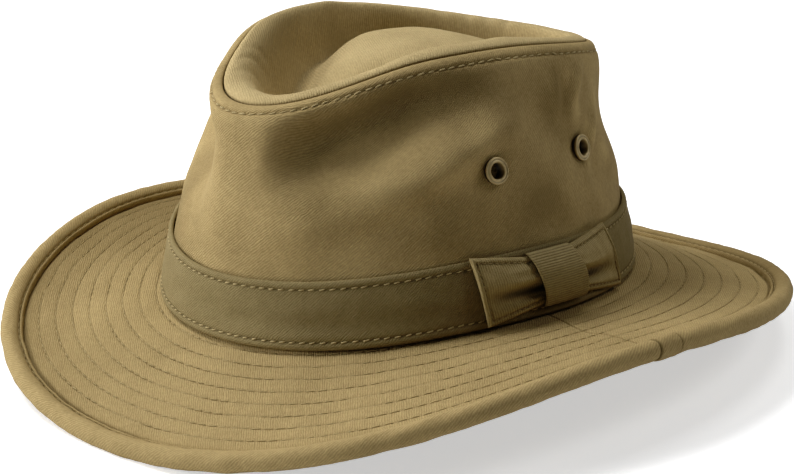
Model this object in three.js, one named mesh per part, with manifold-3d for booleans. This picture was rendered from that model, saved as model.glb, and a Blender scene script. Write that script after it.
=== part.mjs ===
// Safari hat in cotton canvas: a pinched teardrop crown on a stitched brim with a rolled binding,
// a hat band closed by a flat bow on the left, and two eyelets in each side of the crown.
// Millimetres, +Z up. The front of the hat faces -Y and the wearer's left is +X.
// Every surface is given by an angle round the hat, 0 at the front and 90 on the left, and a section.
import * as THREE from 'three';
import { LoftGeometry } from 'three/addons/geometries/LoftGeometry.js';
import { mergeGeometries, mergeVertices } from 'three/addons/utils/BufferGeometryUtils.js';
import Module from 'manifold-3d';

// ---- cloth and fits ----
const gap = 0.3; // clearance between two pieces
const crownCloth = 1.6; // crown side and crown tip
const brimCloth = 2.4; // two layers stitched together
const bandCloth = 1.4; // hat band, turned edges
const slices = 64; // facets round the hat
const mergeReach = 1e-3; // vertices nearer than this are one

// ---- crown ----
// headR, headZ: the line where the crown stands on the brim. rimR, rimZ: the seam round the crown tip.
// shoulder: how far the side bulges past that seam. belly: fullness at mid height.
const crownSections = [
  { angle: 0, headR: 102.5, headZ: 28, rimR: 81.5, rimZ: 118, shoulder: 8, belly: 0.5 },
  { angle: 30, headR: 99.5, headZ: 29.5, rimR: 67.5, rimZ: 125, shoulder: 7, belly: 2 },
  { angle: 60, headR: 94.5, headZ: 33, rimR: 57.5, rimZ: 132, shoulder: 5.5, belly: 3.5 },
  { angle: 90, headR: 92.5, headZ: 32.5, rimR: 58, rimZ: 132, shoulder: 5, belly: 3 },
  { angle: 120, headR: 94.5, headZ: 30, rimR: 70, rimZ: 127.5, shoulder: 4.5, belly: 1 },
  { angle: 150, headR: 99.5, headZ: 28, rimR: 83, rimZ: 119.5, shoulder: 4, belly: 0 },
  { angle: 180, headR: 102.5, headZ: 27.5, rimR: 87, rimZ: 116, shoulder: 3.5, belly: 0.5 },
];
const shoulderHeight = 8; // the side turns in over this height to meet the tip

// Hand-set dents of the crown. side says which side has it. angle and up (0 brim, 1 rim) place the deepest
// point, lean moves the angle back as it goes down, and the next four columns are how far it runs each way.
// A depth below zero is a fold that stands out.
const dents = [
  { side: 'left', angle: 24, up: 0.8, lean: 0, front: 15, back: 40, below: 0.21, above: 0.19, depth: 14.5 },
  { side: 'left', angle: 52, up: 0.84, lean: 0, front: 26, back: 32, below: 0.16, above: 0.15, depth: 7.5 },
  { side: 'left', angle: 62, up: 0.65, lean: -150, front: 34, back: 22, below: 0.26, above: 0.2, depth: -3.6 },
  { side: 'left', angle: 84, up: 0.5, lean: 0, front: 14, back: 24, below: 0.3, above: 0.3, depth: 1.6 },
  { side: 'right', angle: 24, up: 0.79, lean: 0, front: 23, back: 42, below: 0.42, above: 0.21, depth: 15 },
  { side: 'right', angle: 40, up: 0.62, lean: 0, front: 25, back: 32, below: 0.25, above: 0.22, depth: 2.5 },
  { side: 'right', angle: 58, up: 0.84, lean: 0, front: 28, back: 36, below: 0.18, above: 0.16, depth: 4 },
  { side: 'right', angle: 62, up: 0.58, lean: -70, front: 28, back: 25, below: 0.22, above: 0.18, depth: -2.6 },
  { side: 'both', angle: 104, up: 0.66, lean: 75, front: 22, back: 18, below: 0.46, above: 0.34, depth: 3.2 },
  { side: 'both', angle: 140, up: 0.68, lean: 0, front: 27, back: 40, below: 0.27, above: 0.24, depth: 2.6 },
];

// ---- crown tip ----
// share, z: the lowest line of the crease, as a share of rimR and as a height.
const creaseSections = [
  { angle: 0, share: 0.68, z: 103 },
  { angle: 30, share: 0.67, z: 105 },
  { angle: 60, share: 0.68, z: 109 },
  { angle: 90, share: 0.73, z: 112 },
  { angle: 120, share: 0.8, z: 112 },
  { angle: 150, share: 0.84, z: 109 },
  { angle: 180, share: 0.84, z: 107 },
];
const lipWidth = 5.5; // rounded lip inside the rim seam
const lipHeight = 2.6;
const wallTurn = 1.35; // above 1, the wall down to the crease starts gently at the lip
const dome = { top: 127.5, y: 22, reach: 60, drop: 8, flatness: 2 }; // raised middle of the tip

// ---- brim and binding ----
// edgeR, edgeZ: middle of the rolled binding. slope: how the brim leaves the crown, degrees.
const brimSections = [
  { angle: 0, edgeR: 159.5, edgeZ: 3.2, slope: -26 },
  { angle: 30, edgeR: 163, edgeZ: 12.4, slope: -17.5 },
  { angle: 60, edgeR: 157.5, edgeZ: 30.2, slope: -6.5 },
  { angle: 90, edgeR: 153, edgeZ: 33.7, slope: -4 },
  { angle: 120, edgeR: 158, edgeZ: 22.7, slope: -10 },
  { angle: 150, edgeR: 159.5, edgeZ: 11, slope: -19 },
  { angle: 180, edgeR: 158, edgeZ: 3.2, slope: -26 },
];
const headMargin = 2.2; // the brim reaches this far in under the crown
const footGap = 0.55; // between the brim and the crown's foot
const rollRadius = 4.05; // binding rolled round the brim's edge
const lip = { reach: 1.3, rise: 1.3 }; // flat edge of the binding that lies on the brim

// ---- hat band and bow ----
const bandHeight = 26.5;
const bandClear = 0.4; // above the brim
const bandGap = 0.45; // outside the crown
const bow = { angle: 85.2, lean: -3.2, knotHalf: 7, knotLow: 3.6, knotHigh: 25.2 };
const wing = { cloth: 1.8, under: 2.2, frontReach: 15.2, backReach: 17.4 };
const fullness = { puff: 4.5, gather: 0.3, gatherReach: 0.1, fade: 0.6 }; // how far a wing stands out
const wingAtKnot = { low: 4.8, high: 24 }; // heights above the crown's foot
const wingAtEnd = { low: 0.6, high: 27.8 };
// The fold along the wing: place and reaches as shares of its height; it dies out towards the wing's end.
const wingFold = { middle: 0.34, below: 0.22, above: 0.24, depth: 5, fade: 1.6 };
const knot = { cloth: 1.3, edge: 2.2, rise: 5.4, roundness: 0.6 }; // roundness below 1 fills its shoulders
const bowFacets = { wingAlong: 7, wingAcross: 8, knotAlong: 4, knotAcross: 10 };

// ---- eyelets ----
const eyelets = [
  { name: 'front', angle: 73.6, up: 0.575 },
  { name: 'back', angle: 112.8, up: 0.575 },
];
// Radii of the flange, inner washer, barrel, bore and of the hole in the cloth; standOff clears the cloth.
const eyelet = { flange: 5.4, washer: 5.1, barrel: 4, bore: 3.2, hole: 4.35 };
const drillLength = 16;
const eyeletProfile = { standOff: 0.95, crown: 2, crownAt: 0.45, washerThick: 0.5, facets: 14 };

// ---- colours ----
const canvas = { color: 0x9a8353, roughness: 0.93, metalness: 0 };
const bandCanvas = { color: 0x837345, roughness: 0.92, metalness: 0 };
const grosgrain = { color: 0x83734a, roughness: 0.85, metalness: 0 };
const brass = { color: 0x8f7b4a, roughness: 0.4, metalness: 0.9 };

// A smooth even curve round the hat through a column's values, given at equal steps from 0 to 180.
function around(table, column) {
  const values = table.map((row) => row[column]);
  const last = values.length - 1;
  const weight = (i) => (i === 0 || i === last ? 0.5 : 1);
  const wave = (i, k) => Math.cos((i * k * Math.PI) / last);
  const terms = values.map((_, k) => {
    const sum = values.reduce((total, value, i) => total + weight(i) * value * wave(i, k), 0);
    return (2 / last) * weight(k) * sum;
  });
  return (angle) => terms.reduce((total, term, k) => total + term * Math.cos(k * angle), 0);
}

const radians = THREE.MathUtils.degToRad;
const clamp = THREE.MathUtils.clamp;
const lerp = THREE.MathUtils.lerp;
const headR = around(crownSections, 'headR');
const headZ = around(crownSections, 'headZ');
const rimR = around(crownSections, 'rimR');
const rimZ = around(crownSections, 'rimZ');
const shoulder = around(crownSections, 'shoulder');
const belly = around(crownSections, 'belly');
const creaseShare = around(creaseSections, 'share');
const creaseZ = around(creaseSections, 'z');
const edgeR = around(brimSections, 'edgeR');
const edgeZ = around(brimSections, 'edgeZ');
const slope = around(brimSections, 'slope');

// A point from its angle, its distance from the axis and its height.
function place(angle, r, z) {
  return new THREE.Vector3(r * Math.sin(angle), -r * Math.cos(angle), z);
}

// 1 in the middle, falling to 0 at -low and at +high.
function lobe(x, low, high) {
  const share = Math.min(Math.abs(x / (x < 0 ? low : high)), 1);
  return 0.5 + 0.5 * Math.cos(share * Math.PI);
}

function dentAt(angle, up) {
  const degrees = THREE.MathUtils.radToDeg(Math.atan2(Math.sin(angle), Math.cos(angle)));
  const turned = { left: degrees, right: -degrees, both: Math.abs(degrees) };
  return dents.reduce((total, dent) => {
    const middle = dent.angle + dent.lean * (dent.up - up);
    const along = lobe(turned[dent.side] - middle, dent.front, dent.back);
    return total + dent.depth * along * lobe(up - dent.up, dent.below, dent.above);
  }, 0);
}

// Outside of the crown at a share of its height: 0 at the brim, 1 at the rim seam.
function crownOutside(angle, up) {
  const height = rimZ(angle) - headZ(angle);
  const turn = clamp((shoulderHeight - height * (1 - up)) / shoulderHeight, 0, 1);
  const straight = lerp(headR(angle), rimR(angle) + shoulder(angle), up);
  const turnedIn = (shoulder(angle) - gap / 2) * (1 - Math.sqrt(1 - turn * turn));
  const r = straight - turnedIn + belly(angle) * Math.sin(Math.PI * up) - dentAt(angle, up);
  return place(angle, r, headZ(angle) + height * up);
}

// The same surface by rows: straight up to bandShare, up the side to shoulderShare, then round the shoulder.
const bandShare = 0.2;
const shoulderShare = 0.7;
function crownSide(angle, v) {
  const height = rimZ(angle) - headZ(angle);
  const turnStart = 1 - shoulderHeight / height;
  if (v < shoulderShare) return crownOutside(angle, (v / shoulderShare) * turnStart);
  const turn = ((v - shoulderShare) / (1 - shoulderShare)) * (Math.PI / 2);
  return crownOutside(angle, 1 - (shoulderHeight * (1 - Math.sin(turn))) / height);
}

// Top of the crown tip from its middle (0) to the rim seam (1), and a short skirt below that seam.
const domeEnd = 0.6;
const ridgeStart = 0.8;
const skirtEnd = 2;
function crownTop(angle, v) {
  const rim = rimR(angle) - gap / 2;
  const creaseR = creaseShare(angle) * rim;
  const ridgeR = rim - lipWidth;
  if (v < domeEnd) {
    const out = v / domeEnd;
    const fall = 0.5 + 0.5 * Math.cos(Math.PI * out ** dome.flatness);
    const away = (-out * creaseR * Math.cos(angle) - dome.y) / dome.reach;
    const crest = dome.top - dome.drop * away * away;
    return place(angle, out * creaseR, lerp(creaseZ(angle), crest, fall));
  }
  if (v < ridgeStart) {
    const out = (v - domeEnd) / (ridgeStart - domeEnd);
    const fall = 0.5 - 0.5 * Math.cos(Math.PI * (1 - out) ** wallTurn);
    return place(angle, lerp(creaseR, ridgeR, out), lerp(rimZ(angle) + lipHeight, creaseZ(angle), fall));
  }
  const turn = ((Math.min(v, 1) - ridgeStart) / (1 - ridgeStart)) * (Math.PI / 2);
  const skirt = Math.max(v - 1, 0) * crownCloth;
  const r = lerp(ridgeR, rim, Math.sin(turn));
  return place(angle, r, rimZ(angle) + lipHeight * Math.cos(turn) - skirt);
}

// Normal of a surface, worked out from two short steps on it: out of the side, and down into the tip.
function normalOf(surface, angle, v) {
  const step = 0.002;
  const low = Math.max(v - step, 0);
  const across = surface(angle + step, v).sub(surface(angle - step, v));
  const along = surface(angle, v + step).sub(surface(angle, low));
  return across.cross(along).normalize();
}

function offset(surface, angle, v, distance) {
  return surface(angle, v).addScaledVector(normalOf(surface, angle, v), distance);
}

// Equal steps from one number to another, both ends included.
function steps(from, to, count) {
  return Array.from({ length: count + 1 }, (_, i) => lerp(from, to, i / count));
}

function roundTheHat() {
  return steps(0, 2 * Math.PI, slices);
}

// A closed ring made by carrying a section round the hat.
function ringLoft(sectionAt) {
  return closed(new LoftGeometry(roundTheHat().map(sectionAt)));
}

// Keeps only the faces and positions, and joins the vertices that lie together.
function closed(...geometries) {
  const bare = geometries.map((geometry) => {
    const shape = new THREE.BufferGeometry();
    shape.setAttribute('position', geometry.getAttribute('position'));
    return shape.setIndex(geometry.index);
  });
  const merged = mergeVertices(mergeGeometries(bare), mergeReach);
  merged.computeVertexNormals();
  return merged;
}

// Closes a ring of points with a fan of triangles from its middle.
function fan(middle, ring) {
  const faces = ring.flatMap((_, i) => [0, i + 1, ((i + 1) % ring.length) + 1]);
  return new THREE.BufferGeometry().setFromPoints([middle, ...ring]).setIndex(faces);
}

function mesh(name, geometry, finish) {
  const made = new THREE.Mesh(geometry, new THREE.MeshStandardMaterial(finish));
  made.name = name;
  return made;
}

const wasm = await Module();
wasm.setup();

function toSolid(geometry) {
  const { index, attributes } = closed(geometry);
  return new wasm.Manifold(
    new wasm.Mesh({
      numProp: 3,
      vertProperties: attributes.position.array,
      triVerts: new Uint32Array(index.array),
    }),
  );
}

function fromSolid(solid) {
  const { vertProperties, triVerts } = solid.getMesh();
  const geometry = new THREE.BufferGeometry();
  geometry.setAttribute('position', new THREE.BufferAttribute(vertProperties, 3));
  geometry.setIndex(new THREE.BufferAttribute(triVerts, 1));
  geometry.computeVertexNormals();
  return geometry;
}

// Where an eyelet sits: mirror is 1 on the left of the hat and -1 on the right.
function eyeletSeat({ angle, up }, mirror) {
  const turned = mirror * radians(angle);
  const reachUp = eyelet.flange / (rimZ(turned) - headZ(turned));
  const reachRound = eyelet.flange / headR(turned);
  const above = crownOutside(turned, up + reachUp);
  const below = crownOutside(turned, up - reachUp);
  const ahead = crownOutside(turned - reachRound, up);
  const behind = crownOutside(turned + reachRound, up);
  const middle = new THREE.Vector3().add(above).add(below).add(ahead).add(behind).divideScalar(4);
  const axis = behind.sub(ahead).cross(above.sub(below)).normalize();
  const seat = new THREE.Object3D();
  seat.position.copy(middle);
  seat.quaternion.setFromUnitVectors(new THREE.Vector3(0, 1, 0), axis);
  seat.updateMatrix();
  return seat;
}

const eyeletPlaces = [
  ...eyelets.map((row) => ({ name: `eyelet_left_${row.name}`, seat: eyeletSeat(row, 1) })),
  ...eyelets.map((row) => ({ name: `eyelet_right_${row.name}`, seat: eyeletSeat(row, -1) })),
];

// Crown side: one wall from the brim to the rim seam, with a round hole at each eyelet.
function crownSideGeometry() {
  const rows = [0, ...steps(bandShare, shoulderShare, 6), ...steps(shoulderShare, 1, 4).slice(1)];
  const wall = ringLoft((angle) => {
    const outside = rows.map((v) => crownSide(angle, v));
    const inside = rows.map((v) => offset(crownSide, angle, v, -crownCloth));
    inside[0].z = outside[0].z;
    return [...inside, ...outside.reverse()];
  });
  const drill = new THREE.CylinderGeometry(eyelet.hole, eyelet.hole, drillLength, eyeletProfile.facets);
  const cut = eyeletPlaces.reduce((solid, { seat }) => {
    return solid.subtract(toSolid(drill.clone().applyMatrix4(seat.matrix)));
  }, toSolid(wall));
  return fromSolid(cut);
}

// Crown tip: a closed disc, dished between the rim lip and the raised middle.
function crownTipGeometry() {
  const rows = [
    ...steps(0, domeEnd, 5).slice(1),
    ...steps(domeEnd, ridgeStart, 2).slice(1),
    ...steps(ridgeStart, 1, 2).slice(1),
    skirtEnd,
  ];
  const ring = (point) => roundTheHat().slice(0, slices).map(point);
  const top = rows.map((v) => ring((angle) => crownTop(angle, v)));
  const under = rows.map((v) => ring((angle) => offset(crownTop, angle, v, crownCloth)));
  const middle = crownTop(0, 0);
  const below = middle.clone().setZ(middle.z - crownCloth);
  return closed(
    new LoftGeometry([...under, ...[...top].reverse()]),
    fan(middle, top[0]),
    fan(below, [...under[0]].reverse()),
  );
}

// Top of the brim's section at a distance r from the axis, and how steep it is there.
function brimTop(angle, r) {
  const width = edgeR(angle) - headR(angle);
  const share = Math.max((r - headR(angle)) / width, 0); // level under the crown
  const lean = Math.tan(radians(slope(angle))) * width;
  const start = headZ(angle) - footGap;
  const bend = edgeZ(angle) - start - lean;
  const z = start + lean * share + bend * share * share;
  return { z, steep: Math.atan2(lean + 2 * bend * share, width) };
}

function brimGeometry() {
  return ringLoft((angle) => {
    const radii = steps(headR(angle) - headMargin, edgeR(angle) - rollRadius - gap, 5);
    const top = radii.map((r) => place(angle, r, brimTop(angle, r).z));
    const under = radii.map((r) => {
      const { z, steep } = brimTop(angle, r);
      return place(angle, r + brimCloth * Math.sin(steep), z - brimCloth * Math.cos(steep));
    });
    return [...top, ...under.reverse()];
  });
}

// Binding: a roll round the brim's edge with a flat lip on the brim, flattened where it meets the ground.
function bindingGeometry() {
  const rollPoints = 9;
  const rollStart = 205;
  const rollEnd = 510;
  return ringLoft((angle) => {
    const { steep } = brimTop(angle, edgeR(angle));
    const local = steps(radians(rollStart), radians(rollEnd), rollPoints).map((turn) => {
      return [rollRadius * Math.cos(turn), rollRadius * Math.sin(turn)];
    });
    const lipEnd = -rollRadius - lip.reach;
    local.push([lipEnd, gap + lip.rise], [lipEnd, gap], [-rollRadius, gap]);
    return local.reverse().map(([along, off]) => {
      const r = edgeR(angle) + along * Math.cos(steep) - off * Math.sin(steep);
      const z = edgeZ(angle) + along * Math.sin(steep) + off * Math.cos(steep);
      return place(angle, r, Math.max(z, 0));
    });
  });
}

// A point at a height above the crown's foot and a distance out from the crown's cloth.
function overCrown(angle, height, out) {
  const up = height / (rimZ(angle) - headZ(angle));
  return offset(crownOutside, angle, up, out);
}

function bandGeometry() {
  const heights = steps(bandClear, bandHeight, 2);
  return ringLoft((angle) => {
    const inside = heights.map((height) => overCrown(angle, height, bandGap));
    const outside = heights.map((height) => overCrown(angle, height, bandGap + bandCloth));
    return [...inside, ...outside.reverse()];
  });
}

// A closed plate of cloth lofted along the band. at(along, across) gives its place, its lift and its cloth.
function plateLoft(alongs, acrosses, at) {
  const onBand = bandGap + bandCloth + gap;
  const sections = alongs.map((along) => {
    const face = (depth) => (across) => {
      const { angle, height, out, cloth } = at(along, across);
      return overCrown(angle, height, onBand + out - depth * cloth);
    };
    return [...acrosses.map(face(1)), ...acrosses.map(face(0)).reverse()];
  });
  return closed(new LoftGeometry(sections, { capStart: true, capEnd: true }));
}

// Angle of the bow's middle line at a share of its height.
function bowAngle(share) {
  return bow.angle + bow.lean * (share - 0.5);
}

// One wing of the bow: gathered under the knot, full beside it, with a fold that dies out towards its end.
function wingGeometry(side, reach) {
  const tucked = -wing.under / reach;
  const alongs = steps(tucked, 1, bowFacets.wingAlong);
  if (side < 0) alongs.reverse();
  return plateLoft(alongs, steps(0, 1, bowFacets.wingAcross), (along, across) => {
    const spread = Math.max(along, 0);
    const low = lerp(wingAtKnot.low, wingAtEnd.low, spread);
    const high = lerp(wingAtKnot.high, wingAtEnd.high, spread);
    const gathered = 1 - fullness.gather * Math.exp(-spread / fullness.gatherReach);
    const full = fullness.puff * gathered * (1 - fullness.fade * spread) * Math.sin(Math.PI * across);
    const crease = lobe(across - wingFold.middle, wingFold.below, wingFold.above);
    const fold = wingFold.depth * (1 - spread ** wingFold.fade) * crease;
    return {
      angle: radians(bowAngle(across) + side * (bow.knotHalf + along * reach)),
      height: lerp(low, high, across),
      out: wing.cloth + Math.max(full - fold, 0),
      cloth: wing.cloth,
    };
  });
}

function knotGeometry() {
  return plateLoft(steps(-1, 1, bowFacets.knotAlong), steps(0, 1, bowFacets.knotAcross), (along, across) => ({
    angle: radians(bowAngle(across) + along * bow.knotHalf),
    height: lerp(bow.knotLow, bow.knotHigh, across),
    out: knot.edge + knot.rise * Math.sin(Math.PI * across) ** knot.roundness,
    cloth: knot.cloth,
  }));
}

// Eyelet: outer flange, barrel through the cloth and inner washer, turned about the hole's axis.
function eyeletGeometry() {
  const { standOff, crown, crownAt, washerThick, facets } = eyeletProfile;
  const inner = -crownCloth - standOff;
  const profile = [
    [eyelet.bore, standOff],
    [lerp(eyelet.bore, eyelet.flange, crownAt), crown],
    [eyelet.flange, standOff],
    [eyelet.barrel, standOff],
    [eyelet.barrel, inner],
    [eyelet.washer, inner],
    [eyelet.washer, inner - washerThick],
    [eyelet.bore, inner - washerThick],
    [eyelet.bore, standOff],
  ];
  return new THREE.LatheGeometry(profile.map(([r, y]) => new THREE.Vector2(r, y)).reverse(), facets);
}

const hat = new THREE.Group();
hat.name = 'safari_hat';
// The outline's middle, front to back, stands over the origin.
hat.position.y = (edgeR(0) - edgeR(Math.PI)) / 2;
hat.add(mesh('crown_side', crownSideGeometry(), canvas));
hat.add(mesh('crown_tip', crownTipGeometry(), canvas));
hat.add(mesh('brim', brimGeometry(), canvas));
hat.add(mesh('brim_binding', bindingGeometry(), canvas));
hat.add(mesh('hat_band', bandGeometry(), bandCanvas));
hat.add(mesh('bow_front_wing', wingGeometry(-1, wing.frontReach), bandCanvas));
hat.add(mesh('bow_back_wing', wingGeometry(1, wing.backReach), bandCanvas));
hat.add(mesh('bow_knot', knotGeometry(), grosgrain));
for (const { name, seat } of eyeletPlaces) {
  const made = mesh(name, eyeletGeometry(), brass);
  made.position.copy(seat.position);
  made.quaternion.copy(seat.quaternion);
  hat.add(made);
}

export default hat;
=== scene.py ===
import math

import bpy
import numpy as np
from mathutils import Matrix, Vector


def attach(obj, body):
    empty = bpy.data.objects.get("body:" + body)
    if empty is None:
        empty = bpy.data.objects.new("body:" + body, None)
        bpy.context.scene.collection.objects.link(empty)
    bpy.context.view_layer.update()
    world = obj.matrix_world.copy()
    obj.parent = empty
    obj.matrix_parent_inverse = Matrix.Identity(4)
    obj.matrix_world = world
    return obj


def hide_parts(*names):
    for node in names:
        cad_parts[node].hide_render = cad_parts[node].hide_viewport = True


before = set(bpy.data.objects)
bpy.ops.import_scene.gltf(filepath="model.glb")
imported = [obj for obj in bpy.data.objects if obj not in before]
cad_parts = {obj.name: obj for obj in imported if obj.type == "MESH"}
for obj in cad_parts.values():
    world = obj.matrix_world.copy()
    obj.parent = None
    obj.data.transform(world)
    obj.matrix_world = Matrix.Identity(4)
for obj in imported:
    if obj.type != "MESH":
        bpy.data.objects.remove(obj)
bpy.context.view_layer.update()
print("frame loaded,", len(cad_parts), "nodes")

# Every length below is in millimetres and is turned into metres when a mesh is made.
# The front of the hat faces -Y, the wearer's left is +X, and angles run from the front (0) over the left.
mm = 0.001
pi = math.pi
degree = pi / 180

form = {  # main shape, one value every 30 degrees from the front to the back
    "headR": [102.5, 99.5, 94.5, 92.5, 94.5, 99.5, 102.5],  # foot of the crown
    "headZ": [28, 29.5, 33, 32.5, 30, 28, 27.5],
    "rimR": [81.5, 67.5, 57.5, 58, 70, 83, 87],  # seam round the crown tip
    "rimZ": [118, 125, 132, 132, 127.5, 119.5, 116],
    "shoulder": [8, 7, 5.5, 5, 4.5, 4, 3.5],  # bulge of the side past that seam
    "belly": [0.5, 2, 3.5, 3, 1, 0, 0.5],
    "creaseShare": [0.68, 0.67, 0.68, 0.73, 0.8, 0.84, 0.84],  # lowest line of the tip
    "creaseZ": [103, 105, 109, 112, 112, 109, 107],
    "edgeR": [159.5, 163, 157.5, 153, 158, 159.5, 158],  # middle of the rolled binding
    "edgeZ": [3.2, 12.4, 30.2, 33.7, 22.7, 11, 3.2],
    "slope": [-26, -17.5, -6.5, -4, -10, -19, -26],  # how the brim leaves the crown, degrees
}


def around(values):  # smooth even curve through values given from front to back
    steps = np.arange(len(values))
    waves = np.cos(np.outer(steps, steps) * pi / steps[-1])
    terms = np.linalg.solve(waves, np.array(values, float))
    return lambda angle: sum(term * np.cos(k * angle) for k, term in enumerate(terms))


headR, headZ, rimR, rimZ = (around(form[key]) for key in ("headR", "headZ", "rimR", "rimZ"))
shoulder, belly = around(form["shoulder"]), around(form["belly"])
creaseShare, creaseZ = around(form["creaseShare"]), around(form["creaseZ"])
edgeR, edgeZ, slope = around(form["edgeR"]), around(form["edgeZ"]), around(form["slope"])
shiftY = (edgeR(0) - edgeR(pi)) / 2  # centres the brim's outline over the origin


def place(angle, r, z):
    r, z, angle = np.broadcast_arrays(r, z, angle)
    return np.stack([r * np.sin(angle), shiftY - r * np.cos(angle), z], -1)


def lerp(a, b, share):
    return a + (b - a) * share


def lobe(x, low, high):  # 1 in the middle, 0 at -low and at +high
    share = np.minimum(np.abs(np.where(x < 0, x / low, x / high)), 1)
    return 0.5 + 0.5 * np.cos(pi * share)


def bell(x, width):
    return np.exp(-((x / width) ** 2))


def turned(angle):  # angle brought to -180..180, in degrees
    return np.degrees(np.arctan2(np.sin(angle), np.cos(angle)))


def ripples(points, size, seed, count=22):  # smooth seeded unevenness of about that size, mostly -1..1
    rng = np.random.default_rng(seed)
    ways = rng.normal(size=(count, 3))
    ways *= (2 * pi / size * rng.uniform(0.6, 1.5, count) / np.linalg.norm(ways, axis=1))[:, None]
    phases = rng.uniform(0, 2 * pi, count)
    return np.cos(points @ ways.T + phases).sum(-1) * math.sqrt(2 / count) * 0.6


def normalsOf(grid, wrap=True):  # normals of a grid of points, rows up and columns round
    padded = np.concatenate([grid[:, -1:], grid, grid[:, :1]], 1) if wrap else grid
    along = np.gradient(grid, axis=0)
    across = (padded[:, 2:] - padded[:, :-2]) if wrap else np.gradient(grid, axis=1)
    normal = np.cross(across, along)
    return normal / np.maximum(np.linalg.norm(normal, axis=-1, keepdims=True), 1e-9)


def lengthsAlong(grid, axis):  # distance walked along a grid, starting at 0
    steps = np.linalg.norm(np.diff(grid, axis=axis), axis=-1)
    start = np.zeros_like(np.take(steps, [0], axis))
    return np.concatenate([start, np.cumsum(steps, axis)], axis)


def evenAngles(count, dense=()):  # angles round the hat; each dense entry is (angle, reach, step) in degrees
    angles = np.arange(count) * 360 / count - 180
    for middle, reach, step in dense:
        angles = angles[np.abs(angles - middle) > reach]
        angles = np.concatenate([angles, np.arange(middle - reach, middle + reach + step / 2, step)])
    return np.sort(angles) * degree


def spacing(*stops):  # rows from stop to stop; each later stop is (value, steps)
    rows = [stops[0]]
    for value, steps in stops[1:]:
        rows += list(np.linspace(rows[-1], value, steps + 1)[1:])
    return np.array(rows)


def quads(rows, columns, wrapRows, wrapColumns):
    i = np.arange(rows if wrapRows else rows - 1)[:, None]
    j = np.arange(columns if wrapColumns else columns - 1)[None, :]
    nextRow, nextColumn = (i + 1) % rows, (j + 1) % columns
    corners = [i * columns + j, i * columns + nextColumn]
    corners += [nextRow * columns + nextColumn, nextRow * columns + j]
    return np.stack(np.broadcast_arrays(*corners), -1).reshape(-1, 4)


def quadUvs(uv):  # corner UVs of the quads of a UV grid that has one more column or row where it wraps
    corners = [uv[:-1, :-1], uv[:-1, 1:], uv[1:, 1:], uv[1:, :-1]]
    return np.stack(corners, 2).reshape(-1, 2)


def wrapped(values, axis=1):  # with the first column, or the first row, again at the end
    return np.concatenate([values, np.take(values, [0], axis)], axis)


def turnedOut(points, faces, uvs):  # faces pointing out of a closed shape
    a, b, c, d = (points[faces[:, k]] for k in range(4))
    volume = np.einsum("ij,ij->i", a, np.cross(b, c)).sum() + np.einsum("ij,ij->i", a, np.cross(c, d)).sum()
    if volume > 0:
        return faces, uvs
    return faces[:, ::-1], uvs.reshape(-1, 4, 2)[:, ::-1].reshape(-1, 2)


def newObject(name, data):
    made = bpy.data.objects.new(name, data)
    bpy.context.scene.collection.objects.link(made)
    return made


def smoothen(mesh):
    mesh.polygons.foreach_set("use_smooth", [True] * len(mesh.polygons))


def addUvs(mesh, uvs):
    mesh.uv_layers.new(name="cloth").data.foreach_set("uv", uvs.astype(np.float32).ravel())


def addMasks(mesh, masks):  # one number at each point, which the materials read
    for label, values in masks.items():
        layer = mesh.attributes.new(label, "FLOAT", "POINT")
        layer.data.foreach_set("value", values.astype(np.float32).ravel())


def makeMesh(name, points, faces, uvs, masks):
    faces, uvs = turnedOut(points, faces, uvs)
    mesh = bpy.data.meshes.new(name)
    mesh.from_pydata((points * mm).tolist(), [], faces.tolist())
    addUvs(mesh, uvs)
    addMasks(mesh, masks)
    smoothen(mesh)
    mesh.update()
    return newObject(name, mesh)


def dress(piece, material, slot, *nodes):  # finish, body and the solids that the piece stands for
    piece.data.materials.clear()
    piece.data.materials.append(material)
    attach(piece, "root")
    if nodes:
        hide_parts(*nodes)


def add(tree, kind, links=None, **settings):  # a shader node with its settings and what feeds its sockets
    node = tree.nodes.new(kind)
    for key, value in settings.items():
        setattr(node, key, value)
    for socket, source in (links or {}).items():
        if isinstance(source, bpy.types.NodeSocket):
            tree.links.new(source, node.inputs[socket])
        else:
            node.inputs[socket].default_value = source
    return node


def fill(node, values):  # plain values for the sockets of a node
    for socket, value in values.items():
        node.inputs[socket].default_value = value


def sums(tree, operation, a, b, c=None):
    links = {0: a, 1: b} if c is None else {0: a, 1: b, 2: c}
    return add(tree, "ShaderNodeMath", links, operation=operation).outputs[0]


def nodeGroup(name, inputs, outputs):
    group = bpy.data.node_groups.new(name, "ShaderNodeTree")
    kinds = {"vector": "NodeSocketVector", "value": "NodeSocketFloat", "colour": "NodeSocketColor"}
    for label, kind, value in inputs:
        socket = group.interface.new_socket(name=label, in_out="INPUT", socket_type=kinds[kind])
        if value is not None:
            socket.default_value = value
    for label, kind in outputs:
        group.interface.new_socket(name=label, in_out="OUTPUT", socket_type=kinds[kind])
    return group, group.nodes.new("NodeGroupInput").outputs, group.nodes.new("NodeGroupOutput").inputs


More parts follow.
